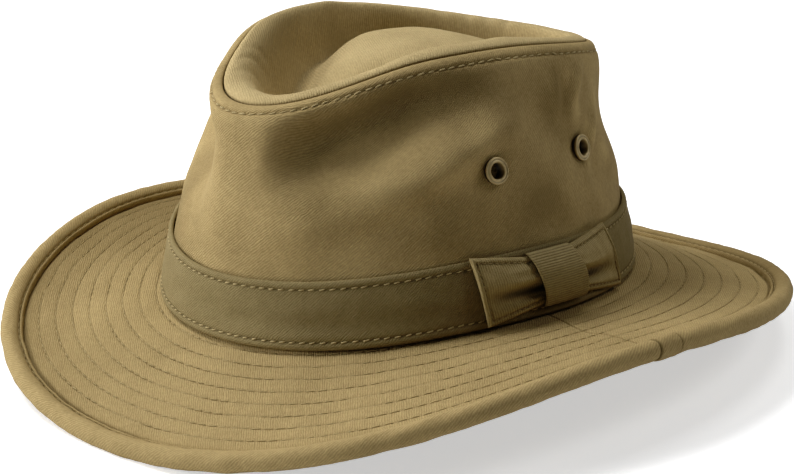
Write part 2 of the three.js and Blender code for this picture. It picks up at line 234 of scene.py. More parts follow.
def twillGroup():  # slanted ridges of a twill, broken by the threads that cross them
    group, given, result = nodeGroup(
        "twillWeave",
        [("Vector", "vector", None), ("Pitch", "value", 1.0), ("Slant", "value", 0.9),
         ("Wander", "value", 0.3)],
        [("Height", "value"), ("Yarn", "value")],
    )
    rotated = add(group, "ShaderNodeVectorRotate", {"Vector": given["Vector"], "Angle": given["Slant"]},
                  rotation_type="Z_AXIS")
    split = add(group, "ShaderNodeSeparateXYZ", {0: rotated.outputs[0]}).outputs
    noise = add(group, "ShaderNodeTexNoise", {"Vector": given["Vector"], "Scale": 0.45, "Detail": 2.0})
    drift = sums(group, "MULTIPLY_ADD", noise.outputs[0], given["Wander"], split[1])
    turns = sums(group, "DIVIDE", drift, given["Pitch"])
    ridge = sums(group, "SINE", sums(group, "MULTIPLY", turns, 2 * pi), 0)
    ridge = sums(group, "MULTIPLY_ADD", ridge, 0.5, 0.5)
    threadTurns = sums(group, "DIVIDE", split[0], sums(group, "MULTIPLY", given["Pitch"], 0.62))
    phase = sums(group, "MULTIPLY_ADD", turns, 0.5, threadTurns)
    thread = sums(group, "SINE", sums(group, "MULTIPLY", phase, 2 * pi), 0)
    thread = sums(group, "MULTIPLY_ADD", thread, 0.15, 0.85)
    height = sums(group, "MULTIPLY", ridge, thread)
    yarnStretch = add(group, "ShaderNodeVectorMath", {0: rotated.outputs[0], 1: (0.5, 3.0, 1.0)},
                      operation="MULTIPLY").outputs[0]
    yarn = add(group, "ShaderNodeTexNoise", {"Vector": yarnStretch, "Scale": 0.9, "Detail": 3.0}).outputs[0]
    group.links.new(height, result["Height"])
    group.links.new(yarn, result["Yarn"])
    return group


def wearGroup():  # broad fading, small flecks and fibre fuzz, from places on the piece
    group, given, result = nodeGroup(
        "clothWear",
        [("Patch Size", "value", 30.0), ("Fleck Size", "value", 1.5)],
        [("Patch", "value"), ("Fleck", "value"), ("Fuzz", "value")],
    )
    inMetres = add(group, "ShaderNodeTexCoord").outputs["Object"]
    inMillimetres = add(group, "ShaderNodeVectorMath", {0: inMetres, "Scale": 1 / mm},
                        operation="SCALE").outputs[0]
    patchScale = sums(group, "DIVIDE", 1.0, given["Patch Size"])
    fleckScale = sums(group, "DIVIDE", 1.0, given["Fleck Size"])
    patch = add(group, "ShaderNodeTexNoise", {"Vector": inMillimetres, "Scale": patchScale, "Detail": 3.0,
                                             "Roughness": 0.55}).outputs[0]
    fleck = add(group, "ShaderNodeTexNoise", {"Vector": inMillimetres, "Scale": fleckScale, "Detail": 4.0,
                                             "Roughness": 0.7}).outputs[0]
    fuzz = add(group, "ShaderNodeTexNoise", {"Vector": inMillimetres, "Scale": 3.2, "Detail": 3.0}).outputs[0]
    group.links.new(patch, result["Patch"])
    group.links.new(fleck, result["Fleck"])
    group.links.new(fuzz, result["Fuzz"])
    return group


def shadeGroup():  # a colour between a dark and a light one, shifted by painted light and shade, and darkened by painted shade in seams, stitch holes, folds and hollows
    group, given, result = nodeGroup(
        "clothColour",
        [("Dark", "colour", None), ("Light", "colour", None), ("Seam", "colour", None),
         ("Height", "value", 0.5), ("Patch", "value", 0.5), ("Fleck", "value", 0.5),
         ("Weave Amount", "value", 0.5), ("Patch Amount", "value", 0.5), ("Fleck Amount", "value", 0.5)],
        [("Color", "colour"), ("Roughness", "value")],
    )
    level = 0.5
    for source, amount in (("Height", "Weave Amount"), ("Patch", "Patch Amount"), ("Fleck", "Fleck Amount")):
        apart = sums(group, "SUBTRACT", given[source], 0.5)
        level = sums(group, "MULTIPLY_ADD", apart, given[amount], level)
    # Painted light and shade, read from the mesh.
    paintedLightAndShade = add(group, "ShaderNodeAttribute", attribute_name="paintedLightAndShade").outputs["Fac"]
    level = sums(group, "ADD", level, paintedLightAndShade)
    cloth = add(group, "ShaderNodeMix", {0: level, 6: given["Dark"], 7: given["Light"]}, data_type="RGBA")
    # Painted shade, read from the mesh.
    seam = add(group, "ShaderNodeAttribute", attribute_name="seam").outputs["Fac"]
    sunk = add(group, "ShaderNodeMix", {0: seam, 6: cloth.outputs[2], 7: given["Seam"]}, data_type="RGBA")
    rough = sums(group, "MULTIPLY_ADD", level, -0.12, 0.96)
    group.links.new(sunk.outputs[2], result["Color"])
    group.links.new(rough, result["Roughness"])
    return group


twillWeave, clothWear, clothColour = twillGroup(), wearGroup(), shadeGroup()


def clothMaterial(name, look):
    material = bpy.data.materials.new(name)
    material.use_nodes = True
    tree = material.node_tree
    shader = tree.nodes["Principled BSDF"]
    places = add(tree, "ShaderNodeUVMap", uv_map="cloth").outputs[0]
    weave = add(tree, "ShaderNodeGroup", node_tree=twillWeave)
    tree.links.new(places, weave.inputs["Vector"])
    fill(weave, {key: look[key.lower()] for key in ("Pitch", "Slant", "Wander")})
    wear = add(tree, "ShaderNodeGroup", node_tree=clothWear)
    fill(wear, {"Patch Size": look["patchSize"], "Fleck Size": look["fleckSize"]})
    colour = add(tree, "ShaderNodeGroup", node_tree=clothColour)
    fill(colour, {key: (*look[key.lower()], 1) for key in ("Dark", "Light", "Seam")})
    fill(colour, {f"{key} Amount": look[f"{key.lower()}Amount"] for key in ("Weave", "Patch", "Fleck")})
    tree.links.new(weave.outputs["Height"], colour.inputs["Height"])
    tree.links.new(wear.outputs["Patch"], colour.inputs["Patch"])
    tree.links.new(wear.outputs["Fleck"], colour.inputs["Fleck"])
    tree.links.new(colour.outputs["Color"], shader.inputs["Base Color"])
    tree.links.new(colour.outputs["Roughness"], shader.inputs["Roughness"])
    relief = sums(tree, "MULTIPLY_ADD", weave.outputs["Yarn"], look["yarnRelief"], weave.outputs["Height"])
    relief = sums(tree, "MULTIPLY_ADD", wear.outputs["Fuzz"], look["fuzzRelief"], relief)
    bump = add(tree, "ShaderNodeBump", {"Height": relief, "Strength": look["bump"], "Distance": 0.00025})
    tree.links.new(bump.outputs[0], shader.inputs["Normal"])
    fill(shader, {"Sheen Weight": look["sheen"], "Sheen Roughness": 0.5, "Sheen Tint": (*look["light"], 1)})
    fill(shader, {"Specular IOR Level": 0.25})
    return material


# In each look, the darkest colour is painted shade laid into seams, stitch grooves, folds and hollows.
canvasLook = {
    "dark": (0.26, 0.189, 0.083), "light": (0.54, 0.405, 0.19), "seam": (0.08, 0.054, 0.02),
    "pitch": 0.95, "slant": -0.72, "wander": 1.3, "patchSize": 34, "fleckSize": 1.6,
    "weaveAmount": 0.4, "patchAmount": 0.55, "fleckAmount": 0.85,
    "yarnRelief": 0.5, "fuzzRelief": 0.35, "bump": 0.7, "sheen": 0.12,
}
bandLook = {
    **canvasLook, "dark": (0.18, 0.138, 0.061), "light": (0.345, 0.275, 0.135), "seam": (0.05, 0.036, 0.014),
    "pitch": 0.85, "slant": -0.75, "weaveAmount": 0.4,
}
brimLook = {**canvasLook, "pitch": 0.9, "slant": 0.8, "weaveAmount": 0.35}
tipLook = {
    **canvasLook, "dark": (0.33, 0.25, 0.12), "light": (0.63, 0.49, 0.25),
    "slant": 0.6, "weaveAmount": 0.22, "patchAmount": 0.7, "patchSize": 26,
}
bindingLook = {**canvasLook, "pitch": 1.0, "slant": 0.75, "weaveAmount": 0.4, "patchAmount": 0.4, "bump": 0.5}
crownLook = {**canvasLook, "patchAmount": 0.85, "patchSize": 24}
canvas, bandCanvas = clothMaterial("canvas", crownLook), clothMaterial("band_canvas", bandLook)
brimCanvas, tipCanvas = clothMaterial("brim_canvas", brimLook), clothMaterial("tip_canvas", tipLook)
bindingCanvas = clothMaterial("binding_canvas", bindingLook)


def threadMaterial(name, look):  # cotton thread, twisted, with lighter and darker stretches
    material = bpy.data.materials.new(name)
    material.use_nodes = True
    tree = material.node_tree
    shader = tree.nodes["Principled BSDF"]
    wear = add(tree, "ShaderNodeGroup", node_tree=clothWear)
    fill(wear, {"Patch Size": look["patchSize"], "Fleck Size": look["fleckSize"]})
    dark, light = (*look["dark"], 1), (*look["light"], 1)
    colour = add(tree, "ShaderNodeMix", {0: wear.outputs["Patch"], 6: dark, 7: light}, data_type="RGBA")
    tree.links.new(colour.outputs[2], shader.inputs["Base Color"])
    bump = add(tree, "ShaderNodeBump", {"Height": wear.outputs["Fleck"], "Strength": 0.5, "Distance": 0.0001})
    tree.links.new(bump.outputs[0], shader.inputs["Normal"])
    fill(shader, {"Roughness": 0.8, "Specular IOR Level": 0.3})
    return material


thread = threadMaterial("thread", {
    "dark": (0.36, 0.275, 0.13), "light": (0.56, 0.45, 0.24), "patchSize": 9, "fleckSize": 0.5,
})
brimThread = threadMaterial("brim_thread", {
    "dark": (0.33, 0.25, 0.115), "light": (0.5, 0.39, 0.195), "patchSize": 12, "fleckSize": 0.5,
})
print("cloth materials made")


hand = {  # how unevenly the stitches are sewn, as shares of their own sizes
    "shift": 0.06, "shortest": 0.92, "longest": 1.06, "leastSlant": 0.7, "mostSlant": 1.3,
}


def alongPath(values, walked, at):  # places or directions at distances along a path
    return np.stack([np.interp(at, walked, values[:, k]) for k in range(3)], -1)


def unit(vectors):
    return vectors / np.linalg.norm(vectors, axis=-1, keepdims=True)


def trimmed(faces):  # four-cornered faces, less a corner where one is given twice
    return [list(dict.fromkeys(face)) for face in faces.tolist()]


def stitchFaces(sides, rings):  # one thread: its first point, its rings and its last point
    k = np.arange(sides)
    following = (k + 1) % sides
    faces = [np.stack([np.zeros(sides, int), 1 + following, 1 + k, 1 + k], -1)]
    for ring in range(rings - 1):
        a, b = 1 + ring * sides, 1 + (ring + 1) * sides
        faces.append(np.stack([a + k, a + following, b + following, b + k], -1))
    last = 1 + (rings - 1) * sides
    end = np.full(sides, 1 + rings * sides)
    faces.append(np.stack([end, last + k, last + following, last + following], -1))
    return np.concatenate(faces)


def stitchRow(name, paths, look, material, slot, seed):  # threads along paths of (points, normals, closed)
    rng = np.random.default_rng(seed)
    sides, rings = look["sides"], look["rings"]
    faces = stitchFaces(sides, rings)
    t = np.linspace(-1, 1, rings + 2)
    lift = look["lift"] * (1 - np.abs(t) ** 3) - look["sink"] * np.abs(t) ** 3
    radius = look["radius"] * np.sqrt(np.maximum(1 - t ** 6, 0))
    turn = np.arange(sides) * 2 * pi / sides
    reach = 0.4  # how far each way the path's direction is read
    allPoints, allFaces, start = [], [], 0
    for points, ups, isClosed in paths:
        if isClosed:
            points, ups = wrapped(points, 0), wrapped(ups, 0)
        walked = lengthsAlong(points, 0)
        count = max(1, round(walked[-1] / look["pitch"]))
        at = (np.arange(count) + 0.5) * walked[-1] / count
        at = at + rng.uniform(-hand["shift"], hand["shift"], count) * look["pitch"]
        half = look["length"] / 2 * rng.uniform(hand["shortest"], hand["longest"], count)
        middle, up = alongPath(points, walked, at), alongPath(ups, walked, at)
        ahead = alongPath(points, walked, np.minimum(at + reach, walked[-1]))
        tangent = unit(ahead - alongPath(points, walked, np.maximum(at - reach, 0)))
        side = unit(np.cross(up, tangent))
        up = np.cross(tangent, side)
        slant = look["slant"] * rng.uniform(hand["leastSlant"], hand["mostSlant"], count)
        way = tangent[:, None] + side[:, None] * slant[:, None, None]
        spine = middle[:, None] + way * (half[:, None] * t)[..., None] + up[:, None] * lift[:, None]
        spoke = np.cos(turn)[:, None] * side[:, None, None] + np.sin(turn)[:, None] * up[:, None, None]
        body = (spine[:, :, None] + radius[:, None, None] * spoke)[:, 1:-1].reshape(count, rings * sides, 3)
        stitch = np.concatenate([spine[:, :1], body, spine[:, -1:]], 1)
        size = stitch.shape[1]
        allPoints.append(stitch.reshape(-1, 3))
        allFaces.append((faces[None] + (start + np.arange(count) * size)[:, None, None]).reshape(-1, 4))
        start += count * size
    mesh = bpy.data.meshes.new(name)
    mesh.from_pydata((np.concatenate(allPoints) * mm).tolist(), [], trimmed(np.concatenate(allFaces)))
    smoothen(mesh)
    mesh.update()
    dress(newObject(name, mesh), material, slot)


crown = {
    "cloth": 1.6, "gap": 0.3, "shoulderHeight": 8,
    "columns": 640, "grainR": 88, "grainTaper": 0.4,
    "stitchBelow": 6.1, "stitchGroove": 0.55, "stitchWidth": 0.8, "seamPuff": 0.45, "seamDip": 0.8,
    "softSize": 42, "softDepth": 0.55, "fineSize": 13, "fineDepth": 0.1,
    "puckerSize": 3.2, "puckerDepth": 0.1, "puckerWidth": 1.8, "dimple": 0.5, "dimpleReach": 8,
    "sideRows": 67, "shoulderRows": 26, "liningEvery": 5, "calmFoot": 30, "calmTop": 8,
}
# Dents: side, angle and height of the deepest point, lean, reaches forward, back, down and up,
# and depth.
dents = [
    ("left", 24, 0.8, 0, 15, 40, 0.21, 0.19, 14.5),
    ("left", 52, 0.84, 0, 26, 32, 0.16, 0.15, 7.5),
    ("left", 62, 0.65, -150, 34, 22, 0.26, 0.2, -3.6),
    ("left", 84, 0.5, 0, 14, 24, 0.3, 0.3, 1.6),
    ("right", 24, 0.79, 0, 23, 42, 0.42, 0.21, 15),
    ("right", 40, 0.62, 0, 25, 32, 0.25, 0.22, 2.5),
    ("right", 58, 0.84, 0, 28, 36, 0.18, 0.16, 4),
    ("right", 62, 0.58, -70, 28, 25, 0.22, 0.18, -2.6),
    ("both", 104, 0.66, 75, 22, 18, 0.46, 0.34, 3.2),
    ("both", 140, 0.68, 0, 27, 40, 0.27, 0.24, 2.6),
]


def dentAt(angle, up):
    left = turned(angle)
    ways = {"left": left, "right": -left, "both": np.abs(left)}
    total = 0
    for side, middle, height, lean, front, back, below, above, depth in dents:
        beside = ways[side] - (middle + lean * (height - up))
        total = total + depth * lobe(beside, front, back) * lobe(up - height, below, above)
    return total


def crownOutside(angle, up):  # outside of the crown: 0 at the brim, 1 at the rim seam
    height = rimZ(angle) - headZ(angle)
    turn = np.clip((crown["shoulderHeight"] - height * (1 - up)) / crown["shoulderHeight"], 0, 1)
    straight = lerp(headR(angle), rimR(angle) + shoulder(angle), up)
    turnedIn = (shoulder(angle) - crown["gap"] / 2) * (1 - np.sqrt(1 - turn * turn))
    r = straight - turnedIn + belly(angle) * np.sin(pi * up) - dentAt(angle, up)
    return place(angle, r, headZ(angle) + height * up)


def overCrown(angle, height, out=0):  # at a height above the crown's foot and a distance out of its cloth
    up = height / (rimZ(angle) - headZ(angle))
    step = 0.002
    across = crownOutside(angle + step, up) - crownOutside(angle - step, up)
    along = crownOutside(angle, up + step) - crownOutside(angle, up - step)
    normal = unit(np.cross(across, along))
    return crownOutside(angle, up) + normal * np.asarray(out)[..., None], normal


def eyeletPlace(node):  # middle of the cloth's hole and the way out of it, read from the solid
    points = np.array([v.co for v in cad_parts[node].data.vertices]) / mm
    middle = points.mean(0)
    axis = np.linalg.eigh(np.cov((points - middle).T))[1][:, 0]
    axis *= np.sign(axis[:2] @ middle[:2])
    return middle + axis * (((points - middle) @ axis).max() - eyelet["crown"]), axis


eyelet = {
    "nodes": ["eyelet_left_front", "eyelet_left_back", "eyelet_right_front", "eyelet_right_back"],
    "crown": 2.0, "flange": 5.4, "bore": 3.2, "hole": 4.35, "washer": 5.1, "barrel": 4, "standOff": 0.95,
    "washerThick": 0.5, "washerBulge": 0.15, "rimRoll": 0.55, "rimFlat": 0.45, "lipRoll": 0.5,
    "flangeFoot": 0.2, "sides": 56, "drillSides": 48, "drillReach": 9,
}
eyeletPlaces = [eyeletPlace(node) for node in eyelet["nodes"]]


def seamRelief(below, cloth):  # beside a sewn edge: dips into the seam, puffs, then sinks under the stitches
    puff = cloth["seamPuff"] * np.sin(pi * np.clip(below / cloth["stitchBelow"], 0, 1))
    groove = cloth["stitchGroove"] * bell(below - cloth["stitchBelow"], cloth["stitchWidth"])
    return puff - groove - cloth["seamDip"] * (1 - edgeRound(below, 1.3))


def edgeRound(distance, radius):  # how thick a rounded edge is, as a share, at a distance inside it
    inside = np.clip(1 - distance / radius, 0, 1)
    return np.sqrt(1 - inside * inside)


# Painted light (above 0) on crests and beside the fine folds and painted shade (below 0) in the hollows of
# the crown: angle, height, reaches and amount.
fades = [
    (22, 0.3, 22, 0.3, 0.16), (8, 0.75, 12, 0.3, 0.1), (30, 0.87, 22, 0.13, -0.4),
    (50, 0.9, 24, 0.12, -0.5), (70, 0.89, 18, 0.12, -0.42), (44, 0.55, 18, 0.14, 0.24),
    (60, 0.6, 12, 0.14, 0.3), (72, 0.72, 9, 0.14, 0.34), (88, 0.4, 18, 0.18, -0.45),
    (54, 0.36, 14, 0.1, -0.3), (80, 0.85, 16, 0.2, -0.12), (104, 0.76, 9, 0.2, -0.25),
    (115, 0.86, 3.5, 0.1, 0.5), (114, 0.74, 3.2, 0.1, 0.6), (119, 0.63, 4, 0.09, 0.5),
    (127, 0.53, 6, 0.09, 0.4), (109, 0.82, 5, 0.16, -0.4), (128, 0.8, 7, 0.3, 0.25),
    (-30, 0.35, 18, 0.5, -0.5),
]
# Painted shade along the deepest line of the hollow: angle, height, reaches and amount.
paintedHollowShade = [(26, 0.86, 16, 0.13, 0.14), (50, 0.9, 24, 0.09, 0.3), (68, 0.9, 14, 0.08, 0.14)]
# Fine folds of the left side: angle, height, lean, reaches round and up, and how far they stand out.
folds = [
    (117, 0.84, -44, 3.6, 0.13, 1.9), (120, 0.62, -46, 4, 0.22, 2), (111, 0.8, -20, 4.5, 0.22, -1.6),
    (84, 0.7, -60, 7, 0.12, 0.5), (92, 0.32, 120, 10, 0.12, -0.5), (99, 0.4, 60, 7, 0.12, 0.4),
]


def spots(table, angle, up):
    return sum(amount * lobe(turned(angle) - middle, reach, reach) * lobe(up - height, tall, tall)
               for middle, height, reach, tall, amount in table)


def fineFolds(angle, up):
    total = 0
    for middle, height, lean, reach, tall, rise in folds:
        beside = turned(angle) - middle - lean * (height - up)
        total = total + rise * lobe(beside, reach, reach) * lobe(up - height, tall, tall)
    return total


def makeCrownSide():
    angles = evenAngles(crown["columns"])
    shoulderShare = crown["shoulderHeight"] / (rimZ(angles) - headZ(angles))
    side = [share * (1 - shoulderShare) for share in np.linspace(0, 1, crown["sideRows"])]
    turns = np.linspace(0, pi / 2, crown["shoulderRows"])[1:]
    up = np.array(side + [1 - shoulderShare * (1 - np.sin(turn)) for turn in turns])
    base = crownOutside(angles[None], up)
    normal = normalsOf(base)
    walked = lengthsAlong(base, 0)
    below = walked[-1] - walked
    soft = crown["softDepth"] * ripples(base, crown["softSize"], 3)
    soft = soft + crown["fineDepth"] * ripples(base * [1, 1, 0.7], crown["fineSize"], 4)
    soft = soft * np.clip(walked / crown["calmFoot"], 0, 1) ** 2
    pucker = crown["puckerDepth"] * ripples(base, crown["puckerSize"], 5)
    pucker = pucker * bell(below - crown["stitchBelow"] - 0.4, crown["puckerWidth"])
    relief = soft * np.clip(below / crown["calmTop"], 0, 1) + seamRelief(below, crown)
    relief = relief + pucker + fineFolds(angles[None], up)
    for middle, axis in eyeletPlaces:
        relief = relief - crown["dimple"] * bell(np.linalg.norm(base - middle, axis=-1), crown["dimpleReach"])
    outside = base + normal * relief[..., None]
    inner = np.arange(0, len(up), crown["liningEvery"])[::-1]
    lining = base[inner] + normal[inner] * (soft[inner] - crown["cloth"])[..., None]
    lining[-1, :, 2] = outside[0, :, 2]
    lip = outside[-1:] - [0, 0, crown["cloth"] * 0.9]
    grid = np.concatenate([outside, lip, lining[1:]])
    seam = np.zeros(grid.shape[:2])
    # Painted shade at the rim seam and in the stitch groove, then along the hollow from the table.
    seam[: len(up)] = 0.6 * bell(below, 0.5) + 0.4 * bell(below - crown["stitchBelow"], 0.6)
    seam[: len(up)] += spots(paintedHollowShade, angles[None], up)
    seam[len(up)] = 0.8  # the lip, painted shade inside the seam's gap
    flat = wrapped(grid, 0)
    r = np.linalg.norm(flat[..., :2] - [0, shiftY], axis=-1)
    taper = lerp(crown["grainR"], wrapped(r), crown["grainTaper"])
    uv = np.stack([np.append(angles, angles[0] + 2 * pi) * taper, wrapped(lengthsAlong(flat, 0))], -1)
    paintedLightAndShade = np.zeros(grid.shape[:2])
    # Painted light and shade of the side, from the table.
    paintedLightAndShade[: len(up)] = spots(fades, angles[None], up)
    piece = makeMesh("crown_side_cloth", grid.reshape(-1, 3), quads(*grid.shape[:2], True, True), quadUvs(uv),
                     {"seam": seam, "paintedLightAndShade": paintedLightAndShade})
    cutHoles(piece)
    dress(piece, canvas, "canvas", "crown_side")
    stitched = np.abs(below - crown["stitchBelow"]).argmin(0), np.arange(len(angles))
    path = (outside[stitched], normal[stitched], True)
    stitchRow("crown_side_stitches", [path], crownStitch, thread, "canvas", 11)


def ringRound(axis, sides):  # directions square to an axis, all the way round it
    across = unit(np.cross(axis, [0, 0, 1]))
    turn = np.arange(sides)[:, None] * 2 * pi / sides
    return np.cos(turn) * across + np.sin(turn) * np.cross(axis, across)


def cutHoles(piece):  # one boolean with the four drills joined
    sides, reach = eyelet["drillSides"], eyelet["drillReach"]
    points, faces = [], []
    for number, (middle, axis) in enumerate(eyeletPlaces):
        ring = eyelet["hole"] * ringRound(axis, sides)
        first = number * 2 * sides
        points += [middle + ring - axis * reach, middle + ring + axis * reach]
        faces += [[first + k, first + (k + 1) % sides, first + sides + (k + 1) % sides, first + sides + k]
                  for k in range(sides)]
        faces += [list(range(first, first + sides))[::-1], list(range(first + sides, first + 2 * sides))]
    mesh = bpy.data.meshes.new("drills")
    mesh.from_pydata((np.concatenate(points) * mm).tolist(), [], faces)
    drills = newObject("drills", mesh)
    cut = piece.modifiers.new("holes", "BOOLEAN")
    cut.operation, cut.solver, cut.object = "DIFFERENCE", "EXACT", drills
    bpy.context.view_layer.update()
    ready = piece.evaluated_get(bpy.context.evaluated_depsgraph_get())
    piece.data = bpy.data.meshes.new_from_object(ready)
    piece.data.name = piece.name
    piece.modifiers.clear()
    bpy.data.objects.remove(drills)
    smoothen(piece.data)


crownStitch = {"pitch": 4.3, "length": 3.7, "radius": 0.34, "lift": 0.32, "sink": 0.4, "slant": 0.14,
               "rings": 4, "sides": 6}
makeCrownSide()
print("crown side made")

tip = {
    "domeEnd": 0.6, "ridgeStart": 0.8, "lipWidth": 5.5, "lipHeight": 2.6, "wallTurn": 1.35, "skirt": 1.6,
    "domeTop": 127.5, "domeY": 22, "domeReach": 60, "domeDrop": 8, "flatness": 2,
    "softSize": 30, "softDepth": 0.45, "fineSize": 10, "fineDepth": 0.08, "calmTop": 9, "calmLip": 1 / 6,
    "columns": 560, "liningEvery": 4, "creaseLean": 14, "creaseFront": 2.6, "creaseBack": 3.4,
}


def crownTop(angle, v):  # top of the crown tip from its middle (0) to the rim seam (1) and down its skirt
    rim = rimR(angle) - crown["gap"] / 2
    creaseR, ridgeR = creaseShare(angle) * rim, rim - tip["lipWidth"]
    out = np.clip(v / tip["domeEnd"], 0, 1)
    fall = 0.5 + 0.5 * np.cos(pi * out ** tip["flatness"])
    away = (-out * creaseR * np.cos(angle) - tip["domeY"]) / tip["domeReach"]
    domeZ = lerp(creaseZ(angle), tip["domeTop"] - tip["domeDrop"] * away * away, fall)
    rise = np.clip((v - tip["domeEnd"]) / (tip["ridgeStart"] - tip["domeEnd"]), 0, 1)
    ridgeZ = rimZ(angle) + tip["lipHeight"]
    wallZ = lerp(ridgeZ, creaseZ(angle), 0.5 - 0.5 * np.cos(pi * (1 - rise) ** tip["wallTurn"]))
    turn = np.clip((v - tip["ridgeStart"]) / (1 - tip["ridgeStart"]), 0, 1) * pi / 2
    lipZ = rimZ(angle) + tip["lipHeight"] * np.cos(turn) - np.maximum(v - 1, 0) * tip["skirt"]
    onDome, onWall = v < tip["domeEnd"], v < tip["ridgeStart"]
    wallR, lipR = lerp(creaseR, ridgeR, rise), lerp(ridgeR, rim, np.sin(turn))
    r = np.where(onDome, out * creaseR, np.where(onWall, wallR, lipR))
    return place(angle, r, np.where(onDome, domeZ, np.where(onWall, wallZ, lipZ)))


# Short creases of the tip's wall: angle, place out from the middle and depth.
wrinkles = [
    (-36, 0.72, 0.6), (-29, 0.74, 0.8), (-21, 0.72, 0.6), (-152, 0.8, 0.6), (-161, 0.78, 0.9),
    (-167, 0.8, 0.7), (-174, 0.79, 0.9), (40, 0.74, 0.4), (150, 0.76, 0.5),
]
# Painted shade (below 0) and painted light (above 0) in rings of the tip: place out from the middle, reaches
# in and out, and amount.
paintedTipShading = [(0.62, 0.22, 0.16, -0.4), (0.96, 0.12, 0.2, 0.4), (0.81, 0.2, 0.11, -0.75)]


def makeCrownTip():
    angles = evenAngles(tip["columns"])
    v = spacing(0.012, (tip["domeEnd"], 44), (tip["ridgeStart"], 26), (1, 18), (2, 4))[:, None]
    base = crownTop(angles[None], v)
    normal = -normalsOf(base)
    normal[normal[..., 2] < 0] *= -1
    walked = lengthsAlong(base, 0)
    rim = np.searchsorted(v[:, 0], 1)
    below = np.abs(walked[rim] - walked)
    soft = tip["softDepth"] * ripples(base, tip["softSize"], 6)
    soft = soft + tip["fineDepth"] * ripples(base, tip["fineSize"], 7)
    relief = soft * np.clip(below / tip["calmTop"], 0, 1) * np.clip((1 - v) / tip["calmLip"], 0, 1)
    for middle, at, depth in wrinkles:
        beside = turned(angles)[None] - middle - tip["creaseLean"] * (v - at)
        crease = lobe(beside, tip["creaseFront"], tip["creaseBack"]) * lobe(v - at, 0.14, 0.12)
        relief = relief - depth * crease
    top = base + np.array([0, 0, 1]) * relief[..., None]
    lining = (top - normal * crown["cloth"])[:: tip["liningEvery"]]
    lining[:, :, :2] = base[:: tip["liningEvery"], :, :2]
    lining[-1] = top[-1] * [0.985, 0.985, 1]  # the skirt's own thickness
    grid = np.concatenate([top, lining[::-1]])
    seam = np.zeros(grid.shape[:2])
    # Painted shade on the skirt inside the seam's gap and along the rim seam.
    seam[: len(v)] = np.where(v > 1, 0.8, 0.45 * bell(below, 0.5))
    count = len(angles)
    points = np.concatenate([grid.reshape(-1, 3), [top[0].mean(0), lining[0].mean(0)]])
    k = np.arange(count)
    following, bottom = (k + 1) % count, (len(grid) - 1) * count
    faces = [  # the rows, then a fan of three-cornered faces round the middle of each side
        quads(*grid.shape[:2], False, True),
        np.stack([np.full(count, len(points) - 2), following, k, k], -1),
        np.stack([np.full(count, len(points) - 1), bottom + k, bottom + following, bottom + following], -1),
    ]
    mesh = bpy.data.meshes.new("crown_tip_cloth")
    mesh.from_pydata((points * mm).tolist(), [], trimmed(np.concatenate(faces)))
    corner = np.zeros(len(mesh.loops), np.int32)
    mesh.loops.foreach_get("vertex_index", corner)
    addUvs(mesh, points[corner][:, :2])
    # Painted shade on the lower wall and on the right, painted light on the lip.
    wallDark, lipPaintedLight, rightDark = (amount * lobe(v - at, inside, outside)
                                     for at, inside, outside, amount in paintedTipShading)
    paintedLightAndShade = np.zeros(grid.shape[:2])
    paintedLightAndShade[: len(v)] = (wallDark + lipPaintedLight) * (0.5 - 0.5 * np.cos(angles - 0.6)[None])  # the far side most
    paintedLightAndShade[: len(v)] += rightDark * lobe(turned(angles) + 55, 60, 50)[None]
    addMasks(mesh, {"seam": np.append(seam, [0, 0]), "paintedLightAndShade": np.append(paintedLightAndShade, [0, 0])})
    smoothen(mesh)
    mesh.update()
    piece = newObject("crown_tip_cloth", mesh)
    mesh.validate()
    dress(piece, tipCanvas, "canvas", "crown_tip")


makeCrownTip()
print("crown tip made")

brim = {
    "cloth": 2.4, "footGap": 0.55, "margin": 2.2, "columns": 628, "rollRadius": 4.05, "tuck": 1.5,
    "bandOut": 2.9, "rows": 8, "lipInside": 5.5, "lastInside": 5.3, "groove": 0.3, "grooveWidth": 0.4,
    "puff": 0.1, "seamAngle": 83, "seamDepth": 0.45, "seamWidth": 0.4, "ditch": 1.0, "ditchWidth": 1.1,
    "softSize": 26, "softDepth": 0.22, "rowShade": 0.32, "seamShade": 0.5, "ditchShade": 0.6,
}
rowSteps = [-0.5, -0.3, -0.17, -0.085, 0, 0.085, 0.17, 0.3]  # rows of points for each row of stitches
ditchSteps = [2, 1.2, 0.7, 0.3, -0.1, -0.6]  # and inside the binding
# Painted shade (below 0) and painted light (above 0) on the brim: angle, reaches and amount.
paintedBrimShading = [(-95, 75, 60, -0.66), (103, 22, 26, 0.22)]


def brimTop(angle, r):  # height and steepness of the brim's top at a distance from the axis
    width = edgeR(angle) - headR(angle)
    share = np.maximum((r - headR(angle)) / width, 0)  # level under the crown
    lean = np.tan(slope(angle) * degree) * width
    start = headZ(angle) - brim["footGap"]
    bend = edgeZ(angle) - start - lean
    return start + lean * share + bend * share * share, np.arctan2(lean + 2 * bend * share, width)


def stitchR(angle, row):  # distance of a stitch row from the axis; the first slips under the band in front
    first = headR(angle) + brim["bandOut"] - 0.6 * np.cos(angle) - 2.9 * np.sin(angle)
    inside = brim["lastInside"] + 1.27 * np.cos(angle) + 0.32 * np.sin(angle)
    last = edgeR(angle) - brim["lipInside"] - inside
    return lerp(first, last, row / (brim["rows"] - 1))


def seamLine(r):  # the radial seam on the left wanders a little on its way out
    return (brim["seamAngle"] + 0.5 * np.tanh((r - 120) / 1.5) + 0.25 * np.cos((r - 93) / 6)) * degree


def upFrom(angle, steep):  # the way out of a brim that is as steep as that
    return place(angle, -np.sin(steep), np.cos(steep)) - [0, shiftY, 0]


